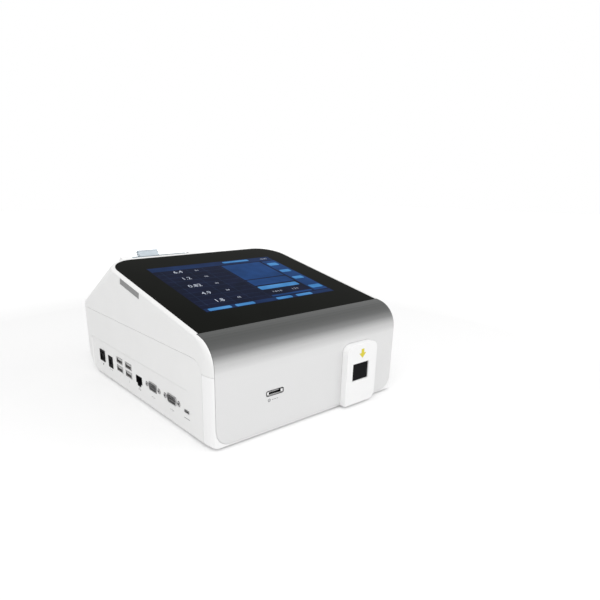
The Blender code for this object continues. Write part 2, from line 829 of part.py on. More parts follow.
def make_tray():
    front = block("cartridge_tray", (-tray_half, 0, window_bottom + fit_gap),
                  (tray_half, tray_front_thickness, window_top - fit_gap), tray_edge_round, 1)
    at = (tray_middle_x, tray_front_y, 0)
    tray = place("cartridge_tray", front, black_plastic, at)

    def tool(name, mesh, operation):
        cutter = place(name, mesh, at=at)
        boolean(tray, cutter, operation)

    tool("tray_body", block("tray_body", (-tray_half, tray_front_thickness / 2, tray_bottom_z),
                            (tray_half, tray_length, tray_top_z)), "UNION")
    top = tray_bottom_z + rack_sink
    rack_end = tray_length - 2 * fit_gap
    rack = [(rack_end, top), (pinion_rack_start(), top)]
    tooth = (tooth_pitch / 2 - tooth_backlash) / 2
    lean = math.tan(pressure_angle)
    count = int((rack_end - pinion_rack_start()) / tooth_pitch)
    for k in range(count):
        middle = pinion_rack_start() + (k + 0.5) * tooth_pitch
        rack += [(middle - tooth - tooth_dedendum * lean, rack_root_z),
                 (middle - tooth + tooth_addendum * lean, pitch_z - tooth_addendum),
                 (middle + tooth - tooth_addendum * lean, pitch_z - tooth_addendum),
                 (middle + tooth + tooth_dedendum * lean, rack_root_z)]
    rack.append((rack_end, rack_root_z))
    tool("tray_rack", sheet("tray_rack", [rack], -rack_width / 2, rack_width / 2, "side"), "UNION")
    pocket_start_y = tray_front_thickness + pocket_start
    tool("tray_pocket", block("tray_pocket", (tray_wall - tray_half, pocket_start_y, tray_bottom_z + tray_base),
                              (tray_half - tray_wall, pocket_start_y + pocket_length, tray_top_z + overrun)),
         "DIFFERENCE")
    notch = rod("tray_notch", (0, pocket_start_y + pocket_length, tray_bottom_z + tray_base), "Z",
                tray_half / 2, tray_top_z, 20)
    tool("tray_notch", notch, "DIFFERENCE")


def pinion_rack_start():
    # A gap between rack teeth stands right over the pinion
    reach = pinion_y - tray_front_y
    return reach - 2 * tooth_pitch


def make_tray_drive():
    at = (tray_middle_x, pinion_y, pinion_z)
    outline = gear_outline(pinion_teeth, tooth_pitch, tooth_addendum, tooth_dedendum, tooth_backlash, math.pi / 2)
    bore = circle(0, 0, shaft_radius + fit_gap, 16)
    place("tray_pinion", sheet("tray_pinion", [outline, bore], -pinion_width / 2, pinion_width / 2, "side"),
          gear_plastic, at)
    face_x = rail_outer + fit_gap
    shaft = rod("pinion_shaft", (-pinion_width, 0, 0), "X", shaft_radius, pinion_width + face_x - fit_gap, 16)
    place("pinion_shaft", shaft, bright_metal, at)
    motor = place("tray_motor", rod("tray_motor", (tray_middle_x + face_x, pinion_y, pinion_z), "X",
                                    motor_radius, motor_length, 32), bright_metal)
    rear = rod("motor_cap", (tray_middle_x + face_x + motor_length - fit_gap, pinion_y, pinion_z), "X",
               motor_radius * motor_boss_share, fit_gap + motor_length / 10, 24)
    add(motor, "motor_cap", rear)


def make_rails():
    left = tray_middle_x - rail_outer
    right = tray_middle_x + rail_outer
    end = rail_start_y + rail_length
    base = rail_floor_top - rail_floor
    rails = place("tray_rails", block("tray_rails", (left, rail_start_y, base), (right, end, rail_top)),
                  frame_plastic)
    low = pinion_z - motor_radius - fit_gap
    add(rails, "motor_plate", block("motor_plate", (right - rail_wall, rail_start_y, low),
                                    (right, pinion_y + motor_radius + rail_wall, base + rail_floor / 2)))
    for index, x in enumerate((left + rail_leg_radius, right - rail_leg_radius)):
        for row, y in enumerate((pinion_y + 2 * motor_radius, end - 2 * rail_leg_radius)):
            add(rails, f"rail_leg_{index}_{row}", rod("leg", (x, y, case_wall + fit_gap), "Z", rail_leg_radius,
                                                      base - case_wall, 16))
    channel = block("channel", (tray_middle_x - rail_inner, -overrun, rail_floor_top),
                    (tray_middle_x + rail_inner, case_depth, case_depth))
    cut(rails, "tray_channel", channel)
    slot = rack_width / 2 + 2 * fit_gap
    cut(rails, "rack_slot", block("rack_slot", (tray_middle_x - slot, -overrun, 0),
                                  (tray_middle_x + slot, tray_front_y + tray_length + overrun / 2, rail_top)))
    cut(rails, "shaft_hole", rod("shaft_hole", (tray_middle_x, pinion_y, pinion_z), "X",
                                 shaft_radius + fit_gap, rail_outer + overrun, 16))


def make_reader_head():
    low = rail_top + fit_gap
    left = tray_middle_x - rail_outer
    right = tray_middle_x + rail_outer
    end = head_start_y + head_length
    head = place("reader_head", block("reader_head", (left, head_start_y, low), (right, end, low + head_height),
                                      rim_round, 1), black_plastic)
    at = (tray_middle_x, head_start_y + head_length / 2)
    cut(head, "lens_bore", rod("lens_bore", (*at, low - overrun), "Z", lens_radius + fit_gap,
                               overrun + lens_length + 2 * fit_gap, 28))
    place("reader_lens", rod("reader_lens", (*at, low + fit_gap), "Z", lens_radius, lens_length, 28,
                             lens_radius * lens_taper_share), clear_plastic)
    top = low + head_height + fit_gap
    place("reader_board", block("reader_board", (left + case_wall, head_start_y + case_wall, top),
                                (right - case_wall, end - case_wall, top + head_board_thickness)), board_green)


def make_chip_socket():
    wall = chip_body_wall
    outer = chip_outline(chip_width + 2 * wall, chip_height + 2 * wall)
    start = fascia_thickness + fit_gap
    socket = place("chip_socket", sheet("chip_socket", [outer], start, start + chip_body_depth, "front"), black_plastic)
    mouth = chip_outline(chip_width - fit_gap, chip_height - fit_gap, chip_height / 3)
    cut(socket, "chip_mouth", sheet("chip_mouth", [mouth], -overrun, start + chip_slot_depth, "front"))
    half = chip_width / 2 - wall
    tongue = block("chip_tongue", (chip_centre_x - half, start + wall / 2, chip_centre_z - tongue_height / 2),
                   (chip_centre_x + half, start + chip_slot_depth - fit_gap, chip_centre_z + tongue_height / 2))
    place("chip_contacts", tongue, frame_plastic)


# Main board, its ports and the power inlet

wall_face = -half_width + bay_depth
behind_wall = wall_face + case_wall + fit_gap
board_left = case_wall + fit_gap - half_width


def board_posts():
    for x in (board_left + 2 * board_post_radius, board_left + board_width - 2 * board_post_radius):
        for y in (board_start_y + 2 * board_post_radius, board_end_y - 2 * board_post_radius):
            yield x, y


def make_board():
    place("main_board", block("main_board", (board_left, board_start_y, board_top - board_thickness),
                              (board_left + board_width, board_end_y, board_top)), board_green)


def port_rect(y, z, width, height, grow=0.0, radius=0.0):
    return rectangle(y - width / 2 - grow, z - height / 2 - grow, y + width / 2 + grow, z + height / 2 + grow, radius)


usb_z = (usb_row_low + usb_row_high) / 2
usb_height = usb_row_high - usb_row_low + usb_gap_height + 2 * usb_shell


def usb_collar(y, z, grow=0.0):
    return port_rect(y, z, usb_width, usb_gap_height + 2 * usb_shell, grow)


def lan_outline(grow):
    # The mouth with its latch notch below
    middle = board_top + fit_gap + lan_height / 2
    top = middle + lan_cavity_height / 2 + grow
    step = middle - lan_cavity_height / 2 - grow
    low = middle - lan_cavity_height / 2 - lan_notch_height - grow
    wide_half = lan_cavity_width / 2 + grow
    slim_half = lan_notch_width / 2 + grow
    return [(lan_y - wide_half, step), (lan_y - slim_half, step), (lan_y - slim_half, low), (lan_y + slim_half, low),
            (lan_y + slim_half, step), (lan_y + wide_half, step), (lan_y + wide_half, top), (lan_y - wide_half, top)]


def port_holes():
    gap = port_clearance
    holes = {}
    for name, y in (("usb_front", usb_front_y), ("usb_rear", usb_rear_y)):
        for row, z in (("low", usb_row_low), ("high", usb_row_high)):
            holes[f"{name}_{row}"] = usb_collar(y, z, gap)
    holes["lan"] = lan_outline(lan_collar + gap)
    for name, y in (("serial_front", serial_front_y), ("serial_rear", serial_rear_y)):
        holes[name] = serial_outline(y, gap)
        for index, side in enumerate((-1, 1)):
            holes[f"{name}_post_{index}"] = circle(y + side * jack_post_spacing / 2, serial_z,
                                                   jack_post_radius + gap, 16)
    holes["power"] = port_rect(power_jack_y, power_jack_z, power_jack_width, power_jack_height, gap)
    holes["switch"] = port_rect(switch_y, switch_z, switch_width, switch_height, gap)
    holes["service"] = port_rect(service_y, service_z, service_width, service_height, gap)
    return holes


def serial_outline(y, grow=0.0):
    # The D shape: wide at the top, narrower below, round corners
    half = serial_shell_width / 2 + grow
    foot = half - serial_shell_height * serial_lean_share
    low = serial_z - serial_shell_height / 2 - grow
    high = serial_z + serial_shell_height / 2 + grow
    radius = serial_shell_height / 4
    return rounded([(y - foot, low, radius), (y + foot, low, radius), (y + half, high, radius),
                    (y - half, high, radius)], 3)


def make_usb(name, y):
    low = board_top + fit_gap
    front = wall_face - fit_gap
    half = usb_width / 2
    stack = block(name, (behind_wall, y - half, low), (front + usb_depth, y + half, usb_z + usb_height / 2))
    port = place(name, stack, bright_metal)
    for index, z in enumerate((usb_row_low, usb_row_high)):
        add(port, f"{name}_collar_{index}", sheet("collar", [usb_collar(y, z)], front, behind_wall + usb_shell, "side"))
    for index, z in enumerate((usb_row_low, usb_row_high)):
        hole = port_rect(y, z, usb_width - 2 * usb_shell, usb_gap_height)
        cut(port, f"{name}_mouth_{index}", sheet("mouth", [hole], front - overrun, front + usb_depth - usb_tongue,
                                                 "side"))
        tongue = port_rect(y, z + usb_gap_height / 5, usb_width - 4 * usb_shell, usb_tongue)
        add(port, f"{name}_tongue_{index}", sheet("tongue", [tongue], front + usb_shell,
                                                  front + usb_depth - usb_tongue / 2, "side"))


def make_lan():
    low = board_top + fit_gap
    front = wall_face - fit_gap
    half = lan_width / 2
    back = front + lan_depth
    jack = place("lan_jack", block("lan_jack", (behind_wall, lan_y - half, low), (back, lan_y + half,
                                                                                   low + lan_height)), black_plastic)
    add(jack, "lan_rim", sheet("lan_rim", [lan_outline(lan_collar)], front, behind_wall + lan_collar, "side"))
    cut(jack, "lan_mouth", sheet("lan_mouth", [lan_outline(0)], front - overrun, back - usb_tongue, "side"))


def make_serial(name, y):
    # The flange sits behind the wall, and the shell and posts come through it
    tip = wall_face - serial_proud
    seat = behind_wall + serial_flange_thickness / 2
    flange = sheet(name, [port_rect(y, serial_z, serial_flange_width, serial_flange_height, 0, rim_round)],
                   behind_wall, behind_wall + serial_flange_thickness, "side")
    port = place(name, flange, bright_metal)
    low = board_top + fit_gap
    half = serial_flange_width / 2
    add(port, name + "_body", block("body", (seat, y - half, low),
                                    (behind_wall + serial_body_depth, y + half,
                                     serial_z + serial_flange_height / 2)))
    add(port, name + "_shell", sheet("shell", [serial_outline(y)], tip, seat, "side"))
    cut(port, name + "_mouth", sheet("mouth", [serial_outline(y, -serial_shell_wall)], tip - overrun,
                                     tip + serial_core_setback, "side"))
    for index, side in enumerate((-1, 1)):
        start = (tip, y + side * jack_post_spacing / 2, serial_z)
        add(port, f"{name}_post_{index}", rod("post", start, "X", jack_post_radius, seat - tip, 6))
        cut(port, f"{name}_thread_{index}", rod("thread", (start[0] - overrun, *start[1:]), "X",
                                                jack_post_radius / 2, overrun + case_wall, 12))


def make_power_jack():
    front = wall_face - fit_gap
    outline = port_rect(power_jack_y, power_jack_z, power_jack_width, power_jack_height)
    jack = place("power_jack", sheet("power_jack", [outline], front, front + power_jack_depth, "side"), black_plastic)
    bore = circle(power_jack_y, power_jack_z, power_jack_bore)
    depth = power_jack_depth * power_bore_share
    cut(jack, "power_bore", sheet("power_bore", [bore], front - overrun, front + depth, "side"))
    add(jack, "power_pin", rod("power_pin", (front + power_jack_pin, power_jack_y, power_jack_z), "X",
                               power_jack_pin, depth, 12))


def make_switch():
    face = wall_face - fit_gap
    outline = port_rect(switch_y, switch_z, switch_width, switch_height)
    frame = place("switch_frame", sheet("switch_frame", [outline], face - switch_lip_thickness,
                                        face + switch_depth, "side"), black_plastic)
    lip = port_rect(switch_y, switch_z, switch_width, switch_height, switch_lip)
    add(frame, "switch_lip", sheet("switch_lip", [lip], face - switch_lip_thickness, face, "side"))
    hollow = port_rect(switch_y, switch_z, switch_width, switch_height, -switch_wall)
    cut(frame, "switch_hollow", sheet("switch_hollow", [hollow], face - overrun,
                                      face + switch_depth - switch_wall, "side"))
    pivot = (face + rocker_pivot_depth, switch_y, switch_z)
    span = switch_width + overrun
    cut(frame, "rocker_bores", rod("rocker_bores", (pivot[0], switch_y - span / 2, switch_z), "Y",
                                   rocker_pin_radius + fit_gap, span, 12))
    half = switch_height / 2 - switch_wall - 3 * fit_gap
    out = rocker_pivot_depth
    shape = [(-out, -half), (switch_lip - out, 0), (-out, half), (out / 4, half / 2), (out / 4, -half / 2)]
    turn = Matrix.Rotation(rocker_swing, 2)
    shape = [tuple(turn @ Vector(point)) for point in shape]
    width = switch_width / 2 - switch_wall - fit_gap
    rocker = place("power_rocker", sheet("power_rocker", [shape], -width, width, "front"), black_plastic, pivot)
    pins = rod("rocker_pins", (0, -width - switch_wall / 2, 0), "Y", rocker_pin_radius, 2 * width + switch_wall, 12)
    boolean(rocker, place("rocker_pins", pins, at=pivot), "UNION")


def make_service_port():
    front = wall_face - fit_gap
    outline = port_rect(service_y, service_z, service_width, service_height)
    port = place("service_port", sheet("service_port", [outline], front, front + service_depth, "side"), bright_metal)
    low = board_top + fit_gap
    carrier = block("service_carrier", (behind_wall, service_y - service_width / 2, low),
                    (front + service_depth, service_y + service_width / 2, service_z))
    add(port, "service_carrier", carrier)
    mouth = port_rect(service_y, service_z, service_width, service_height, -usb_shell / 2)
    cut(port, "service_mouth", sheet("service_mouth", [mouth], front - overrun, front + service_depth / 2, "side"))


# Printer, drawn on the rear slope: x, down the slope, out of the slope

bay_left = printer_left + cheek_left_width
bay_right = printer_right - cheek_right_width
roll_x = (bay_left + bay_right) / 2
tub_radius = roll_radius + tub_clearance
tub_half = roll_width / 2 + tub_clearance
platen_at = (platen_down_slope, -platen_under_slope)
motor_spacing = (platen_gear_teeth + motor_gear_teeth) * gear_pitch / (2 * math.pi) + fit_gap / 3
motor_turn = math.radians(-68)
motor_at = (platen_down_slope + motor_spacing * math.cos(motor_turn),
            -platen_under_slope + motor_spacing * math.sin(motor_turn))
gear_x = bay_right - gear_thickness - 5 * fit_gap
roll_at = (roll_down_slope, -roll_under_slope)


def slope_sheet(name, loops, low, high, view="side"):
    return moved(sheet(name, loops, low, high, view), slope_frame)


def slope_block(name, low, high, rounding=0.0):
    return moved(block(name, low, high, rounding, 1), slope_frame)


def slope_piece(name, mesh, material, down=0.0, out=0.0, x=0.0):
    # The piece keeps its origin on its own axle
    at = on_slope(x, down, out)
    mesh.transform(Matrix.Translation(-at))
    return place(name, mesh, material, at)


def make_printer_frame():
    low = -collar_depth
    crown = 3 * rim_round
    side = rounded([(collar_start, low), (collar_end, low), (collar_end, bar_proud, rim_round),
                    (collar_start + collar_end / 3, cheek_proud, crown), (collar_start, cheek_proud, crown)])
    frame = place("printer_frame", slope_sheet("printer_frame", [side], printer_left, printer_right), frame_plastic)
    cut(frame, "between_cheeks", slope_block("between_cheeks", (bay_left, -overrun, bar_proud),
                                             (bay_right, collar_end + overrun, overrun)))
    fall = rounded([(bay_right + rim_round, cheek_proud + overrun), (bay_right + rim_round, cheek_proud),
                    (printer_right + fit_gap, bar_proud / 2), (printer_right + overrun, bar_proud / 2),
                    (printer_right + overrun, cheek_proud + overrun)])
    cut(frame, "cheek_fall", slope_sheet("cheek_fall", [fall], 0, collar_end + overrun, "front"))
    tub = [(roll_at[0] - tub_radius - tub_wall, low + fit_gap), (roll_at[0] - tub_radius - tub_wall, roll_at[1])]
    tub += [(roll_at[0] - (tub_radius + tub_wall) * math.cos(math.pi * k / 14),
             roll_at[1] - (tub_radius + tub_wall) * math.sin(math.pi * k / 14)) for k in range(1, 14)]
    tub += [(roll_at[0] + tub_radius + tub_wall, roll_at[1]), (roll_at[0] + tub_radius + tub_wall, low + fit_gap)]
    add(frame, "roll_tub", slope_sheet("roll_tub", [tub], roll_x - tub_half - tub_wall, roll_x + tub_half + tub_wall))
    front = platen_down_slope - platen_radius - fit_gap
    head_low = platen_at[1] - platen_radius - print_head_thickness - 3 * fit_gap
    plate_low = motor_at[1] - printer_motor_radius
    add(frame, "gear_plate", slope_block("gear_plate", (bay_right - tub_wall / 2 - fit_gap, front - tub_wall / 2, plate_low),
                                         (bay_right + tub_wall / 2, motor_at[0] + printer_motor_radius, low / 2)))
    add(frame, "head_shelf", slope_block("head_shelf", (bay_left - tub_wall, front - tub_wall, head_low - tub_wall),
                                         (gear_x - 2 * fit_gap, front + print_head_height, low / 2)))
    bay = [(front, cheek_proud + overrun), (front, head_low), (roll_at[0] - tub_radius, head_low)]
    bay += [(roll_at[0] - tub_radius * math.cos(math.pi * k / 14), roll_at[1] - tub_radius * math.sin(math.pi * k / 14))
            for k in range(15)]
    bay.append((roll_at[0] + tub_radius, cheek_proud + overrun))
    cut(frame, "roll_bay", slope_sheet("roll_bay", [bay], roll_x - tub_half, roll_x + tub_half))
    seat_end = collar_end - bar_width
    upper = [(front, cheek_proud + overrun), (front, 0), (seat_end, 0), (seat_end, cheek_proud + overrun)]
    cut(frame, "lid_space", slope_sheet("lid_space", [upper], bay_left, bay_right))
    barrel = hinge_barrel_radius + 2 * fit_gap
    cut(frame, "barrel_space", slope_sheet("barrel_space", [circle(hinge_down_slope, hinge_out, barrel)],
                                           bay_left, bay_right))
    gear_space = platen_gear_teeth * gear_pitch / (2 * math.pi) + gear_tooth_depth
    gear_front = platen_down_slope - gear_space - 2 * fit_gap
    cut(frame, "gear_space", slope_block("gear_space", (gear_x - fit_gap, gear_front, plate_low - overrun),
                                         (bay_right - tub_wall / 2, platen_down_slope + 2 * gear_space, overrun)))
    for name, spot, radius in (("platen_bore", platen_at, platen_shaft_radius + fit_gap),
                               ("hinge_bore", (hinge_down_slope, hinge_out), hinge_pin_radius + fit_gap)):
        reach = cheek_left_width / 3
        cut(frame, name, slope_sheet(name, [circle(*spot, radius, 16)], bay_left - reach, bay_right + reach))
    cut(frame, "motor_bore", slope_sheet("motor_bore", [circle(*motor_at, platen_shaft_radius + fit_gap, 16)],
                                         bay_right - tub_wall, bay_right + tub_wall))


def make_lid():
    low = fit_gap
    top = lid_front_rise
    back = hinge_down_slope
    outer = rounded([(lid_start, low), (lid_start, top, lid_corner_radius),
                     (back, hinge_out + hinge_barrel_radius - fit_gap), (back, hinge_out)], 4)
    inner = rounded([(lid_start + lid_wall, low), (lid_start + lid_wall, top - lid_wall, lid_corner_radius - lid_wall),
                     (back, hinge_out)], 4)
    profile = outer + inner[:-1][::-1]
    gap = fit_gap
    cover = slope_sheet("printer_lid", [profile], bay_left + gap, bay_right - gap)
    lid = slope_piece("printer_lid", cover, clear_plastic, hinge_down_slope, hinge_out)
    at = lid.location

    def fitted(name, mesh, operation):
        mesh.transform(Matrix.Translation(-at))
        boolean(lid, place(name, mesh, at=at), operation)

    tab = rounded([(lid_start, top - lid_corner_radius), (lid_start, top + tab_rise, lid_corner_radius / 2),
                   (lid_start + tab_length, top + tab_rise, lid_corner_radius / 2),
                   (lid_start + tab_length, top - lid_corner_radius / 2)], 3)
    fitted("lid_tab", slope_sheet("lid_tab", [tab], tab_left, tab_right), "UNION")
    barrel = circle(hinge_down_slope, hinge_out, hinge_barrel_radius)
    fitted("lid_barrel", slope_sheet("lid_barrel", [barrel], bay_left + gap, bay_right - gap), "UNION")
    bore = circle(hinge_down_slope, hinge_out, hinge_pin_radius + gap, 16)
    fitted("lid_bore", slope_sheet("lid_bore", [bore], printer_left, printer_right), "DIFFERENCE")
    reach = cheek_left_width / 3 - 2 * gap
    pin = slope_sheet("hinge_pin", [circle(hinge_down_slope, hinge_out, hinge_pin_radius, 16)],
                      bay_left - reach, bay_right + reach)
    place("hinge_pin", pin, bright_metal)


def make_print_drive():
    gap = fit_gap
    reach = cheek_left_width / 3 - 2 * gap
    roller = slope_sheet("platen_roller", [circle(*platen_at, platen_radius, 28)],
                         roll_x - tub_half + 2 * gap, roll_x + tub_half - 2 * gap)
    roller = slope_piece("platen_roller", roller, gray_rubber, *platen_at)
    shaft = slope_sheet("platen_shaft", [circle(*platen_at, platen_shaft_radius, 16)], bay_left - reach,
                        bay_right + reach)
    bore = slope_sheet("platen_core", [circle(*platen_at, platen_shaft_radius + gap, 16)], printer_left, printer_right)
    bore.transform(Matrix.Translation(-roller.location))
    boolean(roller, place("platen_core", bore, at=roller.location), "DIFFERENCE")
    slope_piece("platen_shaft", shaft, bright_metal, *platen_at)
    addendum = gear_tooth_depth * gear_addendum_share
    dedendum = gear_tooth_depth - addendum
    axle = circle(0, 0, platen_shaft_radius + gap, 16)
    tilt = Matrix.Rotation(-rear_angle, 4, "X")
    for name, teeth, spot, turn in (("platen_gear", platen_gear_teeth, platen_at, motor_turn),
                                    ("motor_gear", motor_gear_teeth, motor_at, motor_turn + math.pi
                                     + math.pi / motor_gear_teeth)):
        outline = gear_outline(teeth, gear_pitch, addendum, dedendum, gear_backlash, turn)
        gear = moved(sheet(name, [outline, axle], gear_x, gear_x + gear_thickness, "side"), tilt)
        place(name, gear, gear_plastic, on_slope(0, *spot))
    face = bay_right + tub_wall / 2 + gap
    shaft = slope_sheet("motor_shaft", [circle(*motor_at, platen_shaft_radius, 16)], gear_x - gap, face - gap)
    slope_piece("motor_shaft", shaft, bright_metal, *motor_at)
    body = slope_sheet("printer_motor", [circle(*motor_at, printer_motor_radius, 28)], face,
                       face + printer_motor_length)
    place("printer_motor", body, bright_metal)
    top = platen_at[1] - platen_radius - gap
    front = platen_down_slope - platen_radius
    head = slope_block("print_head", (roll_x - tub_half + 2 * gap, front, top - print_head_thickness),
                       (roll_x + tub_half - 2 * gap, front + print_head_height - gap, top))
    place("print_head", head, black_plastic)
    width = roll_width + tub_clearance
    count = int(width / tear_tooth)
    start = collar_start + rim_round
    edge = platen_down_slope - platen_radius - fit_gap
    bar = [(roll_x - width / 2, start), (roll_x + width / 2, start)]
    for k in range(count, 0, -1):
        bar.append((roll_x - width / 2 + k * tear_tooth, edge))
        bar.append((roll_x - width / 2 + (k - 0.5) * tear_tooth, edge - tear_tooth / 2))
    bar.append((roll_x - width / 2, edge))
    place("tear_bar", moved(sheet("tear_bar", [bar], bar_proud + gap, bar_proud + gap + serial_flange_thickness, "top"),
                            slope_frame), bright_metal)


def make_paper_roll():
    half = roll_width / 2
    rings = [circle(*roll_at, roll_radius, 40), circle(*roll_at, roll_core_radius, 24)]
    slope_piece("paper_roll", slope_sheet("paper_roll", rings, roll_x - half, roll_x + half), paper_white, *roll_at)


# Feet, screws and the screen's flat cable

def feet():
    for x in (-foot_x, foot_x):
        for y in (foot_front_y, foot_rear_y):
            yield x, y


def make_feet():
    for index, (x, y) in enumerate(feet(), 1):
        pad = rod("foot", (0, 0, 0), "Z", foot_radius * foot_taper_share, foot_height + foot_recess - fit_gap, 28, foot_radius)
        place(f"foot_{index}", pad, gray_rubber, (x, y, -foot_height))


def make_screws():
    shelf = seam_height - post_shelf
    for index, (x, y) in enumerate(screw_posts(), 1):
        head = rod("screw", (0, 0, -screw_head_height), "Z", screw_head_radius, screw_head_height, 20)
        screw = place(f"housing_screw_{index}", head, bright_metal, (x, y, shelf - 2 * fit_gap))
        shank = rod("shank", (0, 0, -screw_head_height / 2), "Z", screw_radius,
                    screw_head_height / 2 + post_shelf + screw_grip - fit_gap, 12)
        boolean(screw, place(f"shank_{index}", shank, at=screw.location), "UNION")


def make_ribbon():
    start = on_glass(0, screen_start + screen_length / 4, -glass_thickness - screen_thickness - 3 * fit_gap)
    end = Vector((0, board_start_y + board_width, board_top + 2 * fit_gap))
    steps = 14
    upper = []
    lower = []
    for k in range(steps + 1):
        share = k / steps
        sway = math.sin(2 * math.pi * share) * ribbon_width / 3
        y = start.y + (end.y - start.y) * share + sway
        z = start.z + (end.z - start.z) * share
        upper.append((y, z))
        lower.append((y + ribbon_thickness, z))
    left = 8 * bracket_wall - screen_width / 2 + 2 * fit_gap
    place("screen_ribbon", sheet("screen_ribbon", [upper + lower[::-1]], left, left + ribbon_width, "side"),
          gear_plastic)


make_lower_housing()
make_upper_housing()
make_fascia()
make_front_frame()
make_glass()
make_screen()
make_grips()
make_slot_cover()
make_tray()
make_tray_drive()
make_rails()
make_reader_head()
make_chip_socket()
make_board()
make_usb("usb_front", usb_front_y)
make_usb("usb_rear", usb_rear_y)
make_lan()
make_serial("serial_front", serial_front_y)
make_serial("serial_rear", serial_rear_y)
make_power_jack()
make_switch()
make_service_port()
make_printer_frame()
make_lid()
make_print_drive()
make_paper_roll()
make_feet()
make_screws()
make_ribbon()
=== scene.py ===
import json
import math

import bmesh
import bpy
from mathutils import Matrix, Vector


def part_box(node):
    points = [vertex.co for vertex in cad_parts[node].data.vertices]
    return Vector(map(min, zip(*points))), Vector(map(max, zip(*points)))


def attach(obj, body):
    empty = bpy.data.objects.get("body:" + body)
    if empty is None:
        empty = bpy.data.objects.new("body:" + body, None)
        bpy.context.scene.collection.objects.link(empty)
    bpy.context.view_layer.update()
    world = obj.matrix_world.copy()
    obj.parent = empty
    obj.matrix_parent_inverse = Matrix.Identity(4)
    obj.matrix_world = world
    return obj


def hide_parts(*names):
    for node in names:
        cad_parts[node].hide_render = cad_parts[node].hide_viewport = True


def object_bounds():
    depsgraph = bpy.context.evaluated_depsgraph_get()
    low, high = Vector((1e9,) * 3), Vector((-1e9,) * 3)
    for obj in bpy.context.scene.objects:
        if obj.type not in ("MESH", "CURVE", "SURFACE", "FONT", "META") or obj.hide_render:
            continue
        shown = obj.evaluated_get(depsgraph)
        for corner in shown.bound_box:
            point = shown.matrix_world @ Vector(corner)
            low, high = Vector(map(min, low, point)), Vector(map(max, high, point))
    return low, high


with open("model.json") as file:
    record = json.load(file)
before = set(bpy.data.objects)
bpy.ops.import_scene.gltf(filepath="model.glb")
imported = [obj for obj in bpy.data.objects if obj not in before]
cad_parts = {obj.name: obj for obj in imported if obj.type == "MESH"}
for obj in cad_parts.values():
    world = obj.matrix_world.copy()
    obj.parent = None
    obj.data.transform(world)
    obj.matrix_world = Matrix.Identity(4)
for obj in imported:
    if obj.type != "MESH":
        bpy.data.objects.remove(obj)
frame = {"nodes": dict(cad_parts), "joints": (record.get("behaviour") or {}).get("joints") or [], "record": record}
cadBox = [[float(c) for c in corner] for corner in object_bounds()]
print("stage: frame loaded")

# Drawing planes on the reader, placed from its front plane, its underside and its middle, as the CAD draws it
reader = {"coverProud": 0.007, "footHeight": 0.0025, "portsSunk": 0.001, "glassFoot": (0, 0.0253, 0.093),
          "glassSlope": math.radians(11.85)}
readerPlace = Matrix.Translation((0, cadBox[0][1] + reader["coverProud"], reader["footHeight"]))


def spot(origin, across, up, out):
    turn = Matrix((across, up, out)).transposed().to_4x4()
    return readerPlace @ Matrix.Translation(origin) @ turn


glassRun, glassRise = math.cos(reader["glassSlope"]), math.sin(reader["glassSlope"])
glassSpot = spot(reader["glassFoot"], (1, 0, 0), (0, glassRun, glassRise), (0, -glassRise, glassRun))
frontSpot = spot((0, 0, 0), (1, 0, 0), (0, 0, 1), (0, -1, 0))
coverSpot = spot((0, -reader["coverProud"], 0), (1, 0, 0), (0, 0, 1), (0, -1, 0))
portSpot = spot((cadBox[0][0] + reader["portsSunk"], 0, 0), (0, -1, 0), (0, 0, 1), (-1, 0, 0))

# Camera, set to the photograph's view
photoView = {"place": (-0.31536, -0.44617, 0.20887), "tilt": -0.3259, "roll": -0.003, "turn": -0.6685,
             "lens": 30.675, "sensor": 36, "shiftX": 0.0677, "shiftY": 0.0957, "nearest": 0.01}
cameraData = bpy.data.cameras.new("photoCamera")
cameraData.sensor_width = photoView["sensor"]
cameraData.lens = photoView["lens"]
cameraData.shift_x = photoView["shiftX"]
cameraData.shift_y = photoView["shiftY"]
cameraData.clip_start = photoView["nearest"]
camera = bpy.data.objects.new("photoCamera", cameraData)
camera.location = photoView["place"]
camera.rotation_euler = (math.pi / 2 + photoView["tilt"], photoView["roll"], photoView["turn"])
bpy.context.scene.collection.objects.link(camera)
bpy.context.scene.camera = camera


# Finishes
noiseReach = (0.3, 0.7)  # nearly all of a noise's values lie between these


def startFinish(name):
    finish = bpy.data.materials.new(name)
    finish.use_nodes = True
    tree = finish.node_tree
    shader = tree.nodes["Principled BSDF"]
    coords = tree.nodes.new("ShaderNodeTexCoord").outputs["Object"]
    return finish, tree, shader, coords


def noiseField(tree, coords, scale, detail, stretch=None):
    if stretch:
        mapping = tree.nodes.new("ShaderNodeMapping")
        mapping.inputs["Scale"].default_value = stretch
        tree.links.new(coords, mapping.inputs["Vector"])
        coords = mapping.outputs["Vector"]
    noise = tree.nodes.new("ShaderNodeTexNoise")
    noise.inputs["Scale"].default_value = scale
    noise.inputs["Detail"].default_value = detail
    tree.links.new(coords, noise.inputs["Vector"])
    return noise.outputs["Fac"]


def ramp(tree, factor, stops):
    node = tree.nodes.new("ShaderNodeValToRGB")
    marks = node.color_ramp.elements
    while len(marks) < len(stops):
        marks.new(0.5)
    for mark, (at, colour) in zip(marks, stops):
        mark.position = at
        mark.color = (*colour, 1.0)
    tree.links.new(factor, node.inputs["Fac"])
    return node.outputs["Color"]


def spread(tree, noise, low, high):
    # Spreads a noise over a range of roughness
    node = tree.nodes.new("ShaderNodeMapRange")
    for label, end in zip(("From Min", "From Max", "To Min", "To Max"), (*noiseReach, low, high)):
        node.inputs[label].default_value = end
    tree.links.new(noise, node.inputs["Value"])
    return node.outputs["Result"]


def addRelief(tree, shader, height, strength, depth):
    bump = tree.nodes.new("ShaderNodeBump")
    bump.inputs["Strength"].default_value = strength
    bump.inputs["Distance"].default_value = depth
    tree.links.new(height, bump.inputs["Height"])
    tree.links.new(bump.outputs["Normal"], shader.inputs["Normal"])


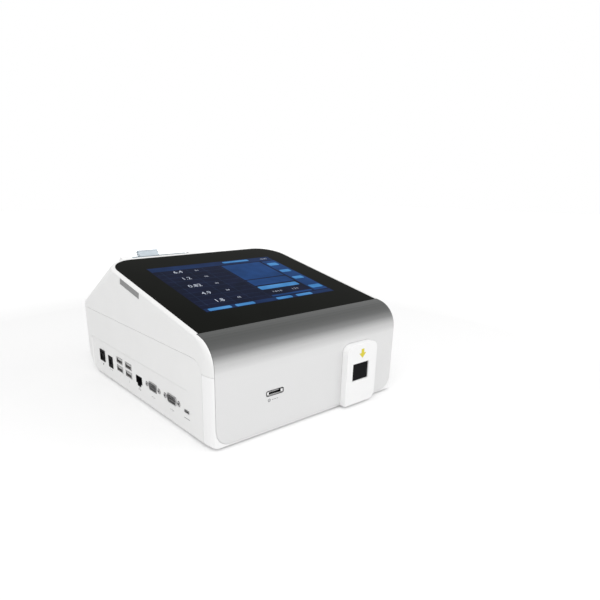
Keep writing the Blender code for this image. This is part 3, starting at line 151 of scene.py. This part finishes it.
# What a moulded finish has where its own look says nothing else
plainLook = {"cloud": 25, "cloudDetail": 4, "grain": 2500, "grainDetail": 2, "stretch": None, "relief": 0.15,
             "depth": 0.00005}


def moulded(name, ownLook):
    # A body colour with faint cloudy variation, uneven gloss and a fine moulded grain
    look = {**plainLook, **ownLook}
    finish, tree, shader, coords = startFinish(name)
    cloud = noiseField(tree, coords, look["cloud"], look["cloudDetail"], look["stretch"])
    tints = list(zip(noiseReach, (look["shade"], look["tint"])))
    tree.links.new(ramp(tree, cloud, tints), shader.inputs["Base Color"])
    grain = noiseField(tree, coords, look["grain"], look["grainDetail"], look["stretch"])
    tree.links.new(spread(tree, grain, *look["rough"]), shader.inputs["Roughness"])
    addRelief(tree, shader, grain, look["relief"], look["depth"])
    for socket, key in (("Metallic", "metal"), ("Specular IOR Level", "gloss"), ("Transmission Weight", "clear")):
        if key in look:
            shader.inputs[socket].default_value = look[key]
    return finish


finishLooks = {
    "white_plastic": {"tint": (0.84, 0.84, 0.835), "shade": (0.825, 0.825, 0.82), "rough": (0.42, 0.5)},
    "frame_plastic": {"tint": (0.90, 0.90, 0.90), "shade": (0.885, 0.885, 0.885), "rough": (0.3, 0.36),
                      "relief": 0.05},
    "black_glass": {"tint": (0.0085, 0.0092, 0.0078), "shade": (0.0075, 0.008, 0.0068), "rough": (0.05, 0.09),
                    "gloss": 0.003, "grain": 60, "relief": 0.0},
    "black_plastic": {"tint": (0.007, 0.007, 0.008), "shade": (0.005, 0.005, 0.006), "rough": (0.5, 0.65),
                      "gloss": 0.06},
    "gray_rubber": {"tint": (0.30, 0.30, 0.30), "shade": (0.26, 0.26, 0.26), "rough": (0.7, 0.85),
                    "relief": 0.3, "gloss": 0.2},
    "board_green": {"tint": (0.02, 0.13, 0.05), "shade": (0.012, 0.085, 0.032), "rough": (0.35, 0.5),
                    "cloud": 180, "stretch": (1, 4, 1)},
    "bright_metal": {"tint": (0.56, 0.56, 0.56), "shade": (0.46, 0.46, 0.46), "rough": (0.25, 0.4),
                     "metal": 0.9, "stretch": (1, 1, 14), "grain": 700},
    "clear_plastic": {"tint": (0.80, 0.87, 0.92), "shade": (0.75, 0.83, 0.89), "rough": (0.1, 0.18),
                      "clear": 0.7, "relief": 0.05},
    "gear_plastic": {"tint": (0.80, 0.78, 0.70), "shade": (0.75, 0.73, 0.65), "rough": (0.4, 0.5)},
    "screen_black": {"tint": (0.012, 0.015, 0.024), "shade": (0.009, 0.011, 0.02), "rough": (0.15, 0.25)},
    "mark_gray": {"tint": (0.33, 0.33, 0.34), "shade": (0.28, 0.28, 0.29), "rough": (0.5, 0.6), "relief": 0.0},
    "mark_dark": {"tint": (0.03, 0.03, 0.032), "shade": (0.02, 0.02, 0.022), "rough": (0.5, 0.6),
                  "relief": 0.0},
    "mark_yellow": {"tint": (0.72, 0.62, 0.03), "shade": (0.66, 0.57, 0.025), "rough": (0.35, 0.45),
                    "relief": 0.0},
    "insert_gray": {"tint": (0.13, 0.13, 0.135), "shade": (0.10, 0.10, 0.105), "rough": (0.4, 0.55),
                    "relief": 0.05},
    "contact_gold": {"tint": (0.78, 0.55, 0.20), "shade": (0.68, 0.46, 0.16), "rough": (0.2, 0.35),
                     "metal": 0.9, "relief": 0.0},
}

# The fascia's silver: its tones run from the foot of the shoulder up to the glass, darkening towards the glass as a
# painted reflection
silverWithPaintedReflection = {"foot": 0.060, "top": 0.096, "flake": 5000, "flakeDetail": 2, "rough": (0.36, 0.46), "relief": 0.08,
          "depth": 0.00003, "metal": 0.25, "gloss": 0.3,
          "tones": [(0.0, (0.76, 0.76, 0.76)), (0.2, (0.74, 0.74, 0.74)), (0.42, (0.52, 0.52, 0.52)),
                    (0.6, (0.19, 0.192, 0.192)), (0.74, (0.095, 0.097, 0.096)), (1.0, (0.055, 0.058, 0.056))]}


def silverFinish():
    # Satin lacquer with a painted reflection: its colour darkens over the shoulder towards the glass
    finish, tree, shader, coords = startFinish("satin_silver")
    split = tree.nodes.new("ShaderNodeSeparateXYZ")
    tree.links.new(coords, split.inputs["Vector"])
    rise = tree.nodes.new("ShaderNodeMapRange")
    rise.inputs["From Min"].default_value = silverWithPaintedReflection["foot"]
    rise.inputs["From Max"].default_value = silverWithPaintedReflection["top"]
    tree.links.new(split.outputs["Z"], rise.inputs["Value"])
    # painted reflection: the ramp over height darkens the colour towards the glass
    tree.links.new(ramp(tree, rise.outputs["Result"], silverWithPaintedReflection["tones"]), shader.inputs["Base Color"])
    flake = noiseField(tree, coords, silverWithPaintedReflection["flake"], silverWithPaintedReflection["flakeDetail"])
    tree.links.new(spread(tree, flake, *silverWithPaintedReflection["rough"]), shader.inputs["Roughness"])
    addRelief(tree, shader, flake, silverWithPaintedReflection["relief"], silverWithPaintedReflection["depth"])
    shader.inputs["Metallic"].default_value = silverWithPaintedReflection["metal"]
    shader.inputs["Specular IOR Level"].default_value = silverWithPaintedReflection["gloss"]
    return finish


paperLook = {"tint": (0.87, 0.87, 0.85), "shade": (0.80, 0.80, 0.77), "rough": 0.85, "fibre": 900,
             "fibreDetail": 4, "stretch": (1, 6, 6)}


def paperFinish():
    # Thermal paper, with its fibres across
    finish, tree, shader, coords = startFinish("paper_white")
    fibre = noiseField(tree, coords, paperLook["fibre"], paperLook["fibreDetail"], paperLook["stretch"])
    tints = list(zip(noiseReach, (paperLook["shade"], paperLook["tint"])))
    tree.links.new(ramp(tree, fibre, tints), shader.inputs["Base Color"])
    shader.inputs["Roughness"].default_value = paperLook["rough"]
    return finish


# The display's lit areas: the tone at an area's edges, then where it is brightest
glow = {"unlit": (0.004, 0.005, 0.008), "gloss": 0.003, "rough": 0.1, "strength": 1.0, "cloud": 45,
        "cloudDetail": 2, "reach": (0.35, 0.65),
        "tones": {"glow_field": ((0.004, 0.006, 0.018), (0.006, 0.009, 0.03)),
                  "glow_panel": ((0.008, 0.038, 0.13), (0.012, 0.055, 0.19)),
                  "glow_bar": ((0.007, 0.02, 0.07), (0.010, 0.030, 0.10)),
                  "glow_button": ((0.045, 0.20, 0.48), (0.085, 0.29, 0.62)),
                  "glow_line": ((0.015, 0.03, 0.07), (0.025, 0.045, 0.10)),
                  "glow_figure": ((0.5, 0.55, 0.66), (0.62, 0.66, 0.75))}}


def glowFinish(name, tones):
    # A lit area of the display, with a slight shift in brightness over it
    finish, tree, shader, coords = startFinish(name)
    shader.inputs["Base Color"].default_value = (*glow["unlit"], 1)
    shader.inputs["Specular IOR Level"].default_value = glow["gloss"]
    shader.inputs["Roughness"].default_value = glow["rough"]
    cloud = noiseField(tree, coords, glow["cloud"], glow["cloudDetail"])
    tree.links.new(ramp(tree, cloud, list(zip(glow["reach"], tones))), shader.inputs["Emission Color"])
    shader.inputs["Emission Strength"].default_value = glow["strength"]
    return finish


finishes = {name: moulded(name, look) for name, look in finishLooks.items()}
finishes["satin_silver"] = silverFinish()
finishes["paper_white"] = paperFinish()
for name, tones in glow["tones"].items():
    finishes[name] = glowFinish(name, tones)

for row in frame["record"]["subparts"]:
    node = frame["nodes"].get(row["node"])
    if node and row["material_slot"] in finishes:
        node.data.materials.clear()
        node.data.materials.append(finishes[row["material_slot"]])
print("stage: finishes on the CAD nodes")


# Shaping helpers
shaping = {"weld": 1e-7, "cornerSteps": 4, "ringSides": 24, "figureSteps": 3, "pinSides": 12}


def finishPiece(name, bm, finishName, body):
    # Closes the mesh, and hangs the piece on its body
    bmesh.ops.remove_doubles(bm, verts=bm.verts, dist=shaping["weld"])
    bmesh.ops.recalc_face_normals(bm, faces=bm.faces)
    mesh = bpy.data.meshes.new(name)
    bm.to_mesh(mesh)
    bm.free()
    mesh.materials.append(finishes[finishName])
    piece = bpy.data.objects.new(name, mesh)
    bpy.context.scene.collection.objects.link(piece)
    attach(piece, body)
    return piece


def roundedBox(left, low, right, high, radius=0.0):
    if radius <= 0:
        return [(left, low), (right, low), (right, high), (left, high)]
    steps = shaping["cornerSteps"]
    outline = []
    for u, v, start in ((right - radius, low + radius, -90), (right - radius, high - radius, 0),
                        (left + radius, high - radius, 90), (left + radius, low + radius, 180)):
        for i in range(steps + 1):
            turn = math.radians(start + 90 * i / steps)
            outline.append((u + radius * math.cos(turn), v + radius * math.sin(turn)))
    return outline


def middleBox(u, v, halfWide, halfHigh, radius=0.0):
    return roundedBox(u - halfWide, v - halfHigh, u + halfWide, v + halfHigh, radius)


def circle(u, v, radius, sides):
    turns = [2 * math.pi * i / sides for i in range(sides)]
    return [(u + radius * math.cos(turn), v + radius * math.sin(turn)) for turn in turns]


def addSlab(bm, place, outline, low, high):
    # A flat outline raised from low to high in the given place
    rings = [[bm.verts.new(place @ Vector((u, v, w))) for u, v in outline] for w in (low, high)]
    count = len(outline)
    bm.faces.new(rings[1])
    bm.faces.new(rings[0][::-1])
    for i in range(count):
        j = (i + 1) % count
        bm.faces.new((rings[0][i], rings[0][j], rings[1][j], rings[1][i]))


def joinLoops(bm, loops):
    # Skins each loop of points to the next, and the last to the first
    for k, first in enumerate(loops):
        second = loops[(k + 1) % len(loops)]
        for i in range(len(first)):
            j = (i + 1) % len(first)
            bm.faces.new((first[i], first[j], second[j], second[i]))


def addBand(bm, place, outer, inner, low, high):
    # The flat band between two outlines, raised from low to high
    joinLoops(bm, [[bm.verts.new(place @ Vector((u, v, w))) for u, v in outline]
                   for outline, w in ((outer, low), (outer, high), (inner, high), (inner, low))])


def addRing(bm, place, u, v, outer, inner, low, high, sides=shaping["ringSides"]):
    addBand(bm, place, circle(u, v, outer, sides), circle(u, v, inner, sides), low, high)


def addFigures(bm, place, words, size, low, high):
    # Plain figures, turned into a mesh before they are placed
    for text, u, v in words:
        curve = bpy.data.curves.new("figures", "FONT")
        curve.body = text
        curve.size = size
        curve.resolution_u = shaping["figureSteps"]
        curve.align_x = "CENTER"
        curve.align_y = "CENTER"
        curve.extrude = (high - low) / 2
        holder = bpy.data.objects.new("figures", curve)
        bpy.context.scene.collection.objects.link(holder)
        bpy.context.view_layer.update()
        shape = bpy.data.meshes.new_from_object(holder.evaluated_get(bpy.context.evaluated_depsgraph_get()))
        shape.transform(place @ Matrix.Translation((u, v, (low + high) / 2)))
        bm.from_mesh(shape)
        bpy.data.objects.remove(holder)


# Geometry Nodes: a row of small bars or pins

def rowTree(name, kind):
    tree = bpy.data.node_groups.new(name, "GeometryNodeTree")
    for label, socketType, value in (("Count", "NodeSocketInt", 4), ("Pitch", "NodeSocketFloat", 0.002),
                                     ("Width", "NodeSocketFloat", 0.001), ("Height", "NodeSocketFloat", 0.001),
                                     ("Length", "NodeSocketFloat", 0.004)):
        tree.interface.new_socket(label, in_out="INPUT", socket_type=socketType).default_value = value
    tree.interface.new_socket("Finish", in_out="INPUT", socket_type="NodeSocketMaterial")
    tree.interface.new_socket("Geometry", in_out="OUTPUT", socket_type="NodeSocketGeometry")
    nodes, link = tree.nodes, tree.links.new
    given = nodes.new("NodeGroupInput").outputs
    step = nodes.new("ShaderNodeCombineXYZ")
    link(given["Pitch"], step.inputs["X"])
    line = nodes.new("GeometryNodeMeshLine")
    link(given["Count"], line.inputs["Count"])
    link(step.outputs["Vector"], line.inputs["Offset"])
    if kind == "pin":
        shape = nodes.new("GeometryNodeMeshCylinder")
        shape.inputs["Vertices"].default_value = shaping["pinSides"]
        link(given["Width"], shape.inputs["Radius"])
        link(given["Length"], shape.inputs["Depth"])
    else:
        shape = nodes.new("GeometryNodeMeshCube")
        size = nodes.new("ShaderNodeCombineXYZ")
        link(given["Width"], size.inputs["X"])
        link(given["Height"], size.inputs["Y"])
        link(given["Length"], size.inputs["Z"])
        link(size.outputs["Vector"], shape.inputs["Size"])
    copies = nodes.new("GeometryNodeInstanceOnPoints")
    link(line.outputs["Mesh"], copies.inputs["Points"])
    link(shape.outputs["Mesh"], copies.inputs["Instance"])
    real = nodes.new("GeometryNodeRealizeInstances")
    link(copies.outputs["Instances"], real.inputs["Geometry"])
    paint = nodes.new("GeometryNodeSetMaterial")
    link(real.outputs["Geometry"], paint.inputs["Geometry"])
    link(given["Finish"], paint.inputs["Material"])
    link(paint.outputs["Geometry"], nodes.new("NodeGroupOutput").inputs["Geometry"])
    return tree


barTree = rowTree("contactRow", "bar")
pinTree = rowTree("pinRow", "pin")


def addRow(bm, tree, place, sizes, finishName):
    # Runs the tree on a holder, and adds its plain mesh in the middle of the given place
    holder = bpy.data.objects.new("rowHolder", bpy.data.meshes.new("rowHolder"))
    bpy.context.scene.collection.objects.link(holder)
    modifier = holder.modifiers.new("row", "NODES")
    modifier.node_group = tree
    sockets = {item.name: item.identifier for item in tree.interface.items_tree if item.in_out == "INPUT"}
    for label, size in sizes.items():
        modifier[sockets[label]] = size
    modifier[sockets["Finish"]] = finishes[finishName]
    bpy.context.view_layer.update()
    shape = bpy.data.meshes.new_from_object(holder.evaluated_get(bpy.context.evaluated_depsgraph_get()))
    holder.modifiers.clear()
    shape.transform(place @ Matrix.Translation((-sizes["Pitch"] * (sizes["Count"] - 1) / 2, 0, 0)))
    bm.from_mesh(shape)
    bpy.data.objects.remove(holder)


# Display, drawn in thin layers on the glass. A box is left, low, right and high, up the slope, and a layer is
# its two heights over the glass
display = {
    "field": [(-0.080, 0.033, 0.081, 0.1495)],
    "bars": [(-0.079, 0.1375, 0.080, 0.1485), (-0.079, 0.034, 0.080, 0.0405)],
    "panels": [(0.004, 0.090, 0.058, 0.1355), (0.004, 0.0725, 0.058, 0.088), (0.0605, 0.0425, 0.080, 0.1355),
               (0.004, 0.0425, 0.058, 0.046)],
    "buttons": [(-0.0755, 0.0345, -0.0505, 0.0395), (-0.0455, 0.0345, -0.0235, 0.0395),
                (0.004, 0.0345, 0.024, 0.0395), (0.030, 0.0345, 0.051, 0.0395), (0.004, 0.061, 0.056, 0.0695),
                (0.0625, 0.120, 0.0765, 0.128), (0.0625, 0.098, 0.0765, 0.105), (0.0625, 0.076, 0.0765, 0.083),
                (0.0625, 0.048, 0.0785, 0.056), (0.012, 0.142, 0.048, 0.1465)],
    "lines": (0.048, 0.057, 0.067, 0.077, 0.087, 0.097, 0.107, 0.117, 0.127), "lineSpan": (-0.0785, 0.0005),
    "columns": (-0.0705, -0.0405, -0.021, 0.0015), "columnSpan": (0.043, 0.136), "ruleWidth": 0.0003,
    "areaRound": 0.001, "buttonRound": 0.0016,
    "figures": [("6.4", -0.0525, 0.1315), ("1.2", -0.0535, 0.1125), ("0.82", -0.0555, 0.0925),
                ("4.9", -0.0550, 0.0725), ("1.8", -0.0530, 0.0530)],
    "smallFigures": [("01", -0.030, 0.131), ("02", -0.030, 0.112), ("03", -0.030, 0.092),
                     ("04", -0.030, 0.0725), ("05", -0.030, 0.053), ("7 8 9 0", 0.018, 0.053),
                     ("1 2 3", 0.042, 0.053), ("12:30", 0.070, 0.143)],
    "figureSize": 0.0088, "smallFigureSize": 0.0042,
    "fieldLayer": (0.00001, 0.00003), "areaLayer": (0.00003, 0.00005), "buttonLayer": (0.00006, 0.00009),
    "figureLayer": (0.00006, 0.00008),
}


def makeDisplay():
    lineSpan, columnSpan, width = display["lineSpan"], display["columnSpan"], display["ruleWidth"]
    rules = [(lineSpan[0], at, lineSpan[1], at + width) for at in display["lines"]]
    rules += [(at, columnSpan[0], at + width, columnSpan[1]) for at in display["columns"]]
    areaRound, areaLayer = display["areaRound"], display["areaLayer"]
    for name, finishName, boxes, radius, layer in (
            ("displayField", "glow_field", display["field"], areaRound, display["fieldLayer"]),
            ("displayBars", "glow_bar", display["bars"], 0, areaLayer),
            ("displayPanels", "glow_panel", display["panels"], areaRound, areaLayer),
            ("displayButtons", "glow_button", display["buttons"], display["buttonRound"], display["buttonLayer"]),
            ("displayRules", "glow_line", rules, 0, areaLayer)):
        bm = bmesh.new()
        for box in boxes:
            addSlab(bm, glassSpot, roundedBox(*box, radius), *layer)
        finishPiece(name, bm, finishName, "case")
    bm = bmesh.new()
    addFigures(bm, glassSpot, display["figures"], display["figureSize"], *display["figureLayer"])
    addFigures(bm, glassSpot, display["smallFigures"], display["smallFigureSize"], *display["figureLayer"])
    finishPiece("displayFigures", bm, "glow_figure", "case")


makeDisplay()
print("stage: display")

# Front: the chip slot's rim and lamps, and the small mark under it
chipSlot = {"middle": (-0.0488, 0.0355), "half": (0.0092, 0.0019), "round": 0.0010,
            "rim": 0.0007, "rimRound": 0.0016, "rimLayer": (0.0, 0.0002),
            "lampHalf": (0.0009, 0.0012), "lampRound": 0.0004, "lampInset": 0.00144, "lampLayer": (-0.0008, -0.0002)}
slotMark = {"place": (-0.0552, 0.0291), "ring": (0.0016, 0.0009), "dotHalf": 0.0004,
            "dashes": (0.0039, 0.0065, 0.0091), "dashHalf": (0.0009, 0.0003), "layer": (0.0, 0.00004)}


def makeChipSlot():
    u, v = chipSlot["middle"]
    halfWide, halfHigh = chipSlot["half"]
    outer = middleBox(u, v, halfWide + chipSlot["rim"], halfHigh + chipSlot["rim"], chipSlot["rimRound"])
    inner = middleBox(u, v, halfWide, halfHigh, chipSlot["round"])
    bm = bmesh.new()
    addBand(bm, frontSpot, outer, inner, *chipSlot["rimLayer"])
    finishPiece("chipSlotRim", bm, "mark_dark", "case")
    bm = bmesh.new()
    for side in (-1, 1):
        lamp = middleBox(u + side * (halfWide - chipSlot["lampInset"]), v, *chipSlot["lampHalf"],
                         chipSlot["lampRound"])
        addSlab(bm, frontSpot, lamp, *chipSlot["lampLayer"])
    finishPiece("chipSlotLamps", bm, "frame_plastic", "case")


def makeSlotMark():
    u, v = slotMark["place"]
    bm = bmesh.new()
    addRing(bm, frontSpot, u, v, *slotMark["ring"], *slotMark["layer"])
    addSlab(bm, frontSpot, middleBox(u, v, slotMark["dotHalf"], slotMark["dotHalf"]), *slotMark["layer"])
    for shift in slotMark["dashes"]:
        addSlab(bm, frontSpot, middleBox(u + shift, v, *slotMark["dashHalf"]), *slotMark["layer"])
    finishPiece("chipSlotMark", bm, "mark_gray", "case")


# The arrow over the window: its stem and its head are shares of its width and height
arrow = {"middle": 0.05625, "tip": 0.0468, "width": 0.0100, "height": 0.0094, "halfStem": 0.2, "head": 0.55,
         "layer": (0.0, 0.00005)}


def makeInsertArrow():
    middle, tip = arrow["middle"], arrow["tip"]
    half, stem = arrow["width"] / 2, arrow["width"] * arrow["halfStem"]
    shoulder, top = tip + arrow["height"] * arrow["head"], tip + arrow["height"]
    outline = [(middle, tip), (middle + half, shoulder), (middle + stem, shoulder), (middle + stem, top),
               (middle - stem, top), (middle - stem, shoulder), (middle - half, shoulder)]
    bm = bmesh.new()
    addSlab(bm, coverSpot, outline, *arrow["layer"])
    finishPiece("insertArrow", bm, "mark_yellow", "case")


makeChipSlot()
makeSlotMark()
makeInsertArrow()
print("stage: front marks")

# Ports on the left wall: a middle is its distance behind the front, drawn negative, and a layer or a depth is
# negative into the wall
usb = {"middles": (0.1592, 0.181), "rows": (0.0191, 0.0283),
       "tongueHalf": 0.0059, "tongueThick": 0.0020, "tongueLayer": (-0.0160, -0.0007),
       "contactDrop": 0.00008, "contactDepth": -0.0060,
       "contacts": {"Count": 4, "Pitch": 0.0024, "Width": 0.001, "Height": 0.0001, "Length": 0.008}}
lan = {"middle": 0.1351, "rise": 0.02045,
       "contactRise": 0.0024, "contactDepth": -0.0075, "contactTilt": 0.18,
       "contacts": {"Count": 8, "Pitch": 0.00102, "Width": 0.0004, "Height": 0.0003, "Length": 0.010}}
serial = {"middles": (0.0686, 0.1053), "rise": 0.0219,
          "insertHalfHigh": 0.0032, "insertHalfLow": 0.0060, "insertHalfTop": 0.0077,
          "insertLayer": (-0.0031, -0.0027), "pinRows": ((5, 0.0014), (4, -0.0014)), "pinDepth": -0.0014,
          "pins": {"Pitch": 0.00277, "Width": 0.0005, "Height": 0.001, "Length": 0.0026}}


def addUsbTongues(sleeves, contacts):
    half, thick = usb["tongueHalf"], usb["tongueThick"]
    for along in usb["middles"]:
        for rise in usb["rows"]:
            addSlab(sleeves, portSpot, roundedBox(-along - half, rise, -along + half, rise + thick),
                    *usb["tongueLayer"])
            place = portSpot @ Matrix.Translation((-along, rise - usb["contactDrop"], usb["contactDepth"]))
            addRow(contacts, barTree, place, usb["contacts"], "contact_gold")


def addLanContacts(contacts):
    place = portSpot @ Matrix.Translation((-lan["middle"], lan["rise"] + lan["contactRise"], lan["contactDepth"]))
    place = place @ Matrix.Rotation(lan["contactTilt"], 4, "X")
    addRow(contacts, barTree, place, lan["contacts"], "contact_gold")


def addSerialPins(inserts, pins):
    low, high = serial["rise"] - serial["insertHalfHigh"], serial["rise"] + serial["insertHalfHigh"]
    halfLow, halfTop = serial["insertHalfLow"], serial["insertHalfTop"]
    for along in serial["middles"]:
        outline = [(-along - halfLow, low), (-along + halfLow, low), (-along + halfTop, high),
                   (-along - halfTop, high)]
        addSlab(inserts, portSpot, outline, *serial["insertLayer"])
        for count, shift in serial["pinRows"]:
            place = portSpot @ Matrix.Translation((-along, serial["rise"] + shift, serial["pinDepth"]))
            addRow(pins, pinTree, place, {"Count": count, **serial["pins"]}, "bright_metal")


def makePortContacts():
    sleeves, contacts, inserts, pins = bmesh.new(), bmesh.new(), bmesh.new(), bmesh.new()
    addUsbTongues(sleeves, contacts)
    addLanContacts(contacts)
    addSerialPins(inserts, pins)
    finishPiece("usbTongueSleeves", sleeves, "frame_plastic", "case")
    finishPiece("portContacts", contacts, "contact_gold", "case")
    finishPiece("serialInserts", inserts, "insert_gray", "case")
    finishPiece("serialPins", pins, "bright_metal", "case")


# Marks under the ports: numbers, rings, dots and dashes, each in line with its port
portMarks = {"layer": (0.0, 0.00004), "numberSize": 0.0034, "numberRise": 0.0113,
             "switchLamp": (-0.2275, 0.0118), "switchLampRing": (0.0011, 0.0002),
             "jack": (-0.2054, 0.0115), "jackRingShift": 0.0030, "jackRing": (0.0009, 0.0005),
             "jackDashHalf": (0.0012, 0.0002),
             "lanDots": ((0, 0.0122), (-0.0018, 0.0101), (0.0018, 0.0101)), "lanDotHalf": (0.0008, 0.0006),
             "lanLineRise": 0.0111, "lanLineHalf": (0.0020, 0.0001),
             "service": (-0.0423, 0.01255), "serviceHalf": (0.0047, 0.00035),
             "serialShift": 0.0025, "serialRise": 0.01155, "serialHalf": (0.0008, 0.00035)}


def makePortMarks():
    layer = portMarks["layer"]
    faint, dark = bmesh.new(), bmesh.new()
    addRing(dark, portSpot, *portMarks["switchLamp"], *portMarks["switchLampRing"], *layer)
    numbers = [(text, -along, portMarks["numberRise"]) for middles in (usb["middles"], serial["middles"])
               for text, along in zip("12", reversed(middles))]
    addFigures(faint, portSpot, numbers, portMarks["numberSize"], *layer)
    jackMiddle, jackRise = portMarks["jack"]
    for side in (-1, 1):
        addRing(faint, portSpot, jackMiddle + side * portMarks["jackRingShift"], jackRise, *portMarks["jackRing"],
                *layer)
    boxes = [(jackMiddle, jackRise, *portMarks["jackDashHalf"])]
    boxes += [(shift - lan["middle"], rise, *portMarks["lanDotHalf"]) for shift, rise in portMarks["lanDots"]]
    boxes.append((-lan["middle"], portMarks["lanLineRise"], *portMarks["lanLineHalf"]))
    boxes.append((*portMarks["service"], *portMarks["serviceHalf"]))
    boxes += [(side * portMarks["serialShift"] - along, portMarks["serialRise"], *portMarks["serialHalf"])
              for along in reversed(serial["middles"]) for side in (-1, 1)]
    for box in boxes:
        addSlab(faint, portSpot, middleBox(*box), *layer)
    finishPiece("portMarks", faint, "mark_gray", "case")
    finishPiece("switchLamp", dark, "mark_dark", "case")


makePortContacts()
makePortMarks()
print("stage: ports")

# The paper roll: wound paper on a core, in place of the CAD's plain solid
paper = {"turns": 26, "sides": 72, "stagger": 0.00012, "core": 0.0062, "coreWall": 0.0012, "coreSides": 48,
         "gap": 0.0001}


def makePaperRoll():
    low, high = (Vector(c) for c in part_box("paper_roll"))
    middle = next(Vector(j["pos_m"]) for j in frame["joints"] if j["child"] == "roll")
    outer = (high.z - low.z) / 2
    turns = [(paper["core"] + (outer - paper["core"]) * i / paper["turns"], paper["stagger"] * (i % 2))
             for i in range(paper["turns"] + 1)]
    ends = [(low.x + inset + paper["gap"], radius) for radius, inset in turns]
    ends += [(high.x - inset - paper["gap"], radius) for radius, inset in reversed(turns)]
    bm = bmesh.new()
    joinLoops(bm, [[bm.verts.new((x, y, z)) for y, z in circle(middle.y, middle.z, radius, paper["sides"])]
                   for x, radius in ends])
    roll = finishPiece("woundPaper", bm, "paper_white", "roll")
    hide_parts("paper_roll")
    bm = bmesh.new()
    across = Matrix.Translation(middle) @ Matrix.Rotation(math.pi / 2, 4, "Y")
    half = (high.x - low.x) / 2
    addRing(bm, across, 0, 0, paper["core"] - paper["gap"], paper["core"] - paper["coreWall"], -half, half,
            paper["coreSides"])
    finishPiece("paperCore", bm, "gear_plastic", "roll")


makePaperRoll()
print("stage: paper roll")

# Floor, world and lamps
floorLook = {"half": 4, "colour": (0.84, 0.84, 0.84), "rough": 0.6, "gloss": 0.1, "lift": 0.14, "fadeFrom": 0.45,
             "fadeTo": 1.6}
ambient = 0.74
lamps = {"keyLamp": {"place": (-0.9, -1.0, 1.5), "size": 1.4, "power": 14.0},
         "sideLamp": {"place": (1.2, -1.1, 1.0), "size": 1.2, "power": 5.0}}
lampAim = (0, 0, 0.05)


def makeFloor():
    # The floor is lifted for the camera alone, and fades to white away from the reader
    half = floorLook["half"]
    mesh = bpy.data.meshes.new("floor")
    mesh.from_pydata([(-half, -half, 0), (half, -half, 0), (half, half, 0), (-half, half, 0)], [], [(0, 1, 2, 3)])
    floor = bpy.data.objects.new("floor", mesh)
    bpy.context.scene.collection.objects.link(floor)
    finish, tree, shader, coords = startFinish("pale_floor")
    shader.inputs["Base Color"].default_value = (*floorLook["colour"], 1)
    shader.inputs["Roughness"].default_value = floorLook["rough"]
    shader.inputs["Specular IOR Level"].default_value = floorLook["gloss"]
    shader.inputs["Emission Color"].default_value = (1, 1, 1, 1)
    rays = tree.nodes.new("ShaderNodeLightPath").outputs
    lift = tree.nodes.new("ShaderNodeMath")
    lift.operation = "MULTIPLY"
    reach = tree.nodes.new("ShaderNodeVectorMath")
    reach.operation = "LENGTH"
    tree.links.new(coords, reach.inputs[0])
    fade = tree.nodes.new("ShaderNodeMapRange")
    fade.inputs["From Min"].default_value = floorLook["fadeFrom"]
    fade.inputs["From Max"].default_value = floorLook["fadeTo"]
    fade.inputs["To Min"].default_value = floorLook["lift"]
    tree.links.new(reach.outputs["Value"], fade.inputs["Value"])
    tree.links.new(fade.outputs["Result"], lift.inputs[1])
    tree.links.new(rays["Is Camera Ray"], lift.inputs[0])
    tree.links.new(lift.outputs["Value"], shader.inputs["Emission Strength"])
    mesh.materials.append(finish)


def makeWorld():
    # White where the camera, the metal and the glass see it, and softer as light
    world = bpy.data.worlds.new("studioWorld")
    bpy.context.scene.world = world
    world.use_nodes = True
    tree = world.node_tree
    backdrop = tree.nodes["Background"]
    backdrop.inputs["Color"].default_value = (1, 1, 1, 1)
    rays = tree.nodes.new("ShaderNodeLightPath").outputs
    total = rays["Is Camera Ray"]
    for kind in ("Is Glossy Ray", "Is Transmission Ray"):
        highest = tree.nodes.new("ShaderNodeMath")
        highest.operation = "MAXIMUM"
        tree.links.new(total, highest.inputs[0])
        tree.links.new(rays[kind], highest.inputs[1])
        total = highest.outputs["Value"]
    level = tree.nodes.new("ShaderNodeMapRange")
    level.inputs["To Min"].default_value = ambient
    level.inputs["To Max"].default_value = 1.0
    tree.links.new(total, level.inputs["Value"])
    tree.links.new(level.outputs["Result"], backdrop.inputs["Strength"])


def makeLamps():
    for name, look in lamps.items():
        lamp = bpy.data.lights.new(name, "AREA")
        lamp.size = look["size"]
        lamp.energy = look["power"]
        holder = bpy.data.objects.new(name, lamp)
        holder.location = look["place"]
        holder.rotation_euler = (Vector(lampAim) - Vector(look["place"])).to_track_quat("-Z", "Y").to_euler()
        bpy.context.scene.collection.objects.link(holder)


makeFloor()
makeWorld()
makeLamps()
bpy.context.scene.view_settings.view_transform = "Standard"
print("stage: studio ready")
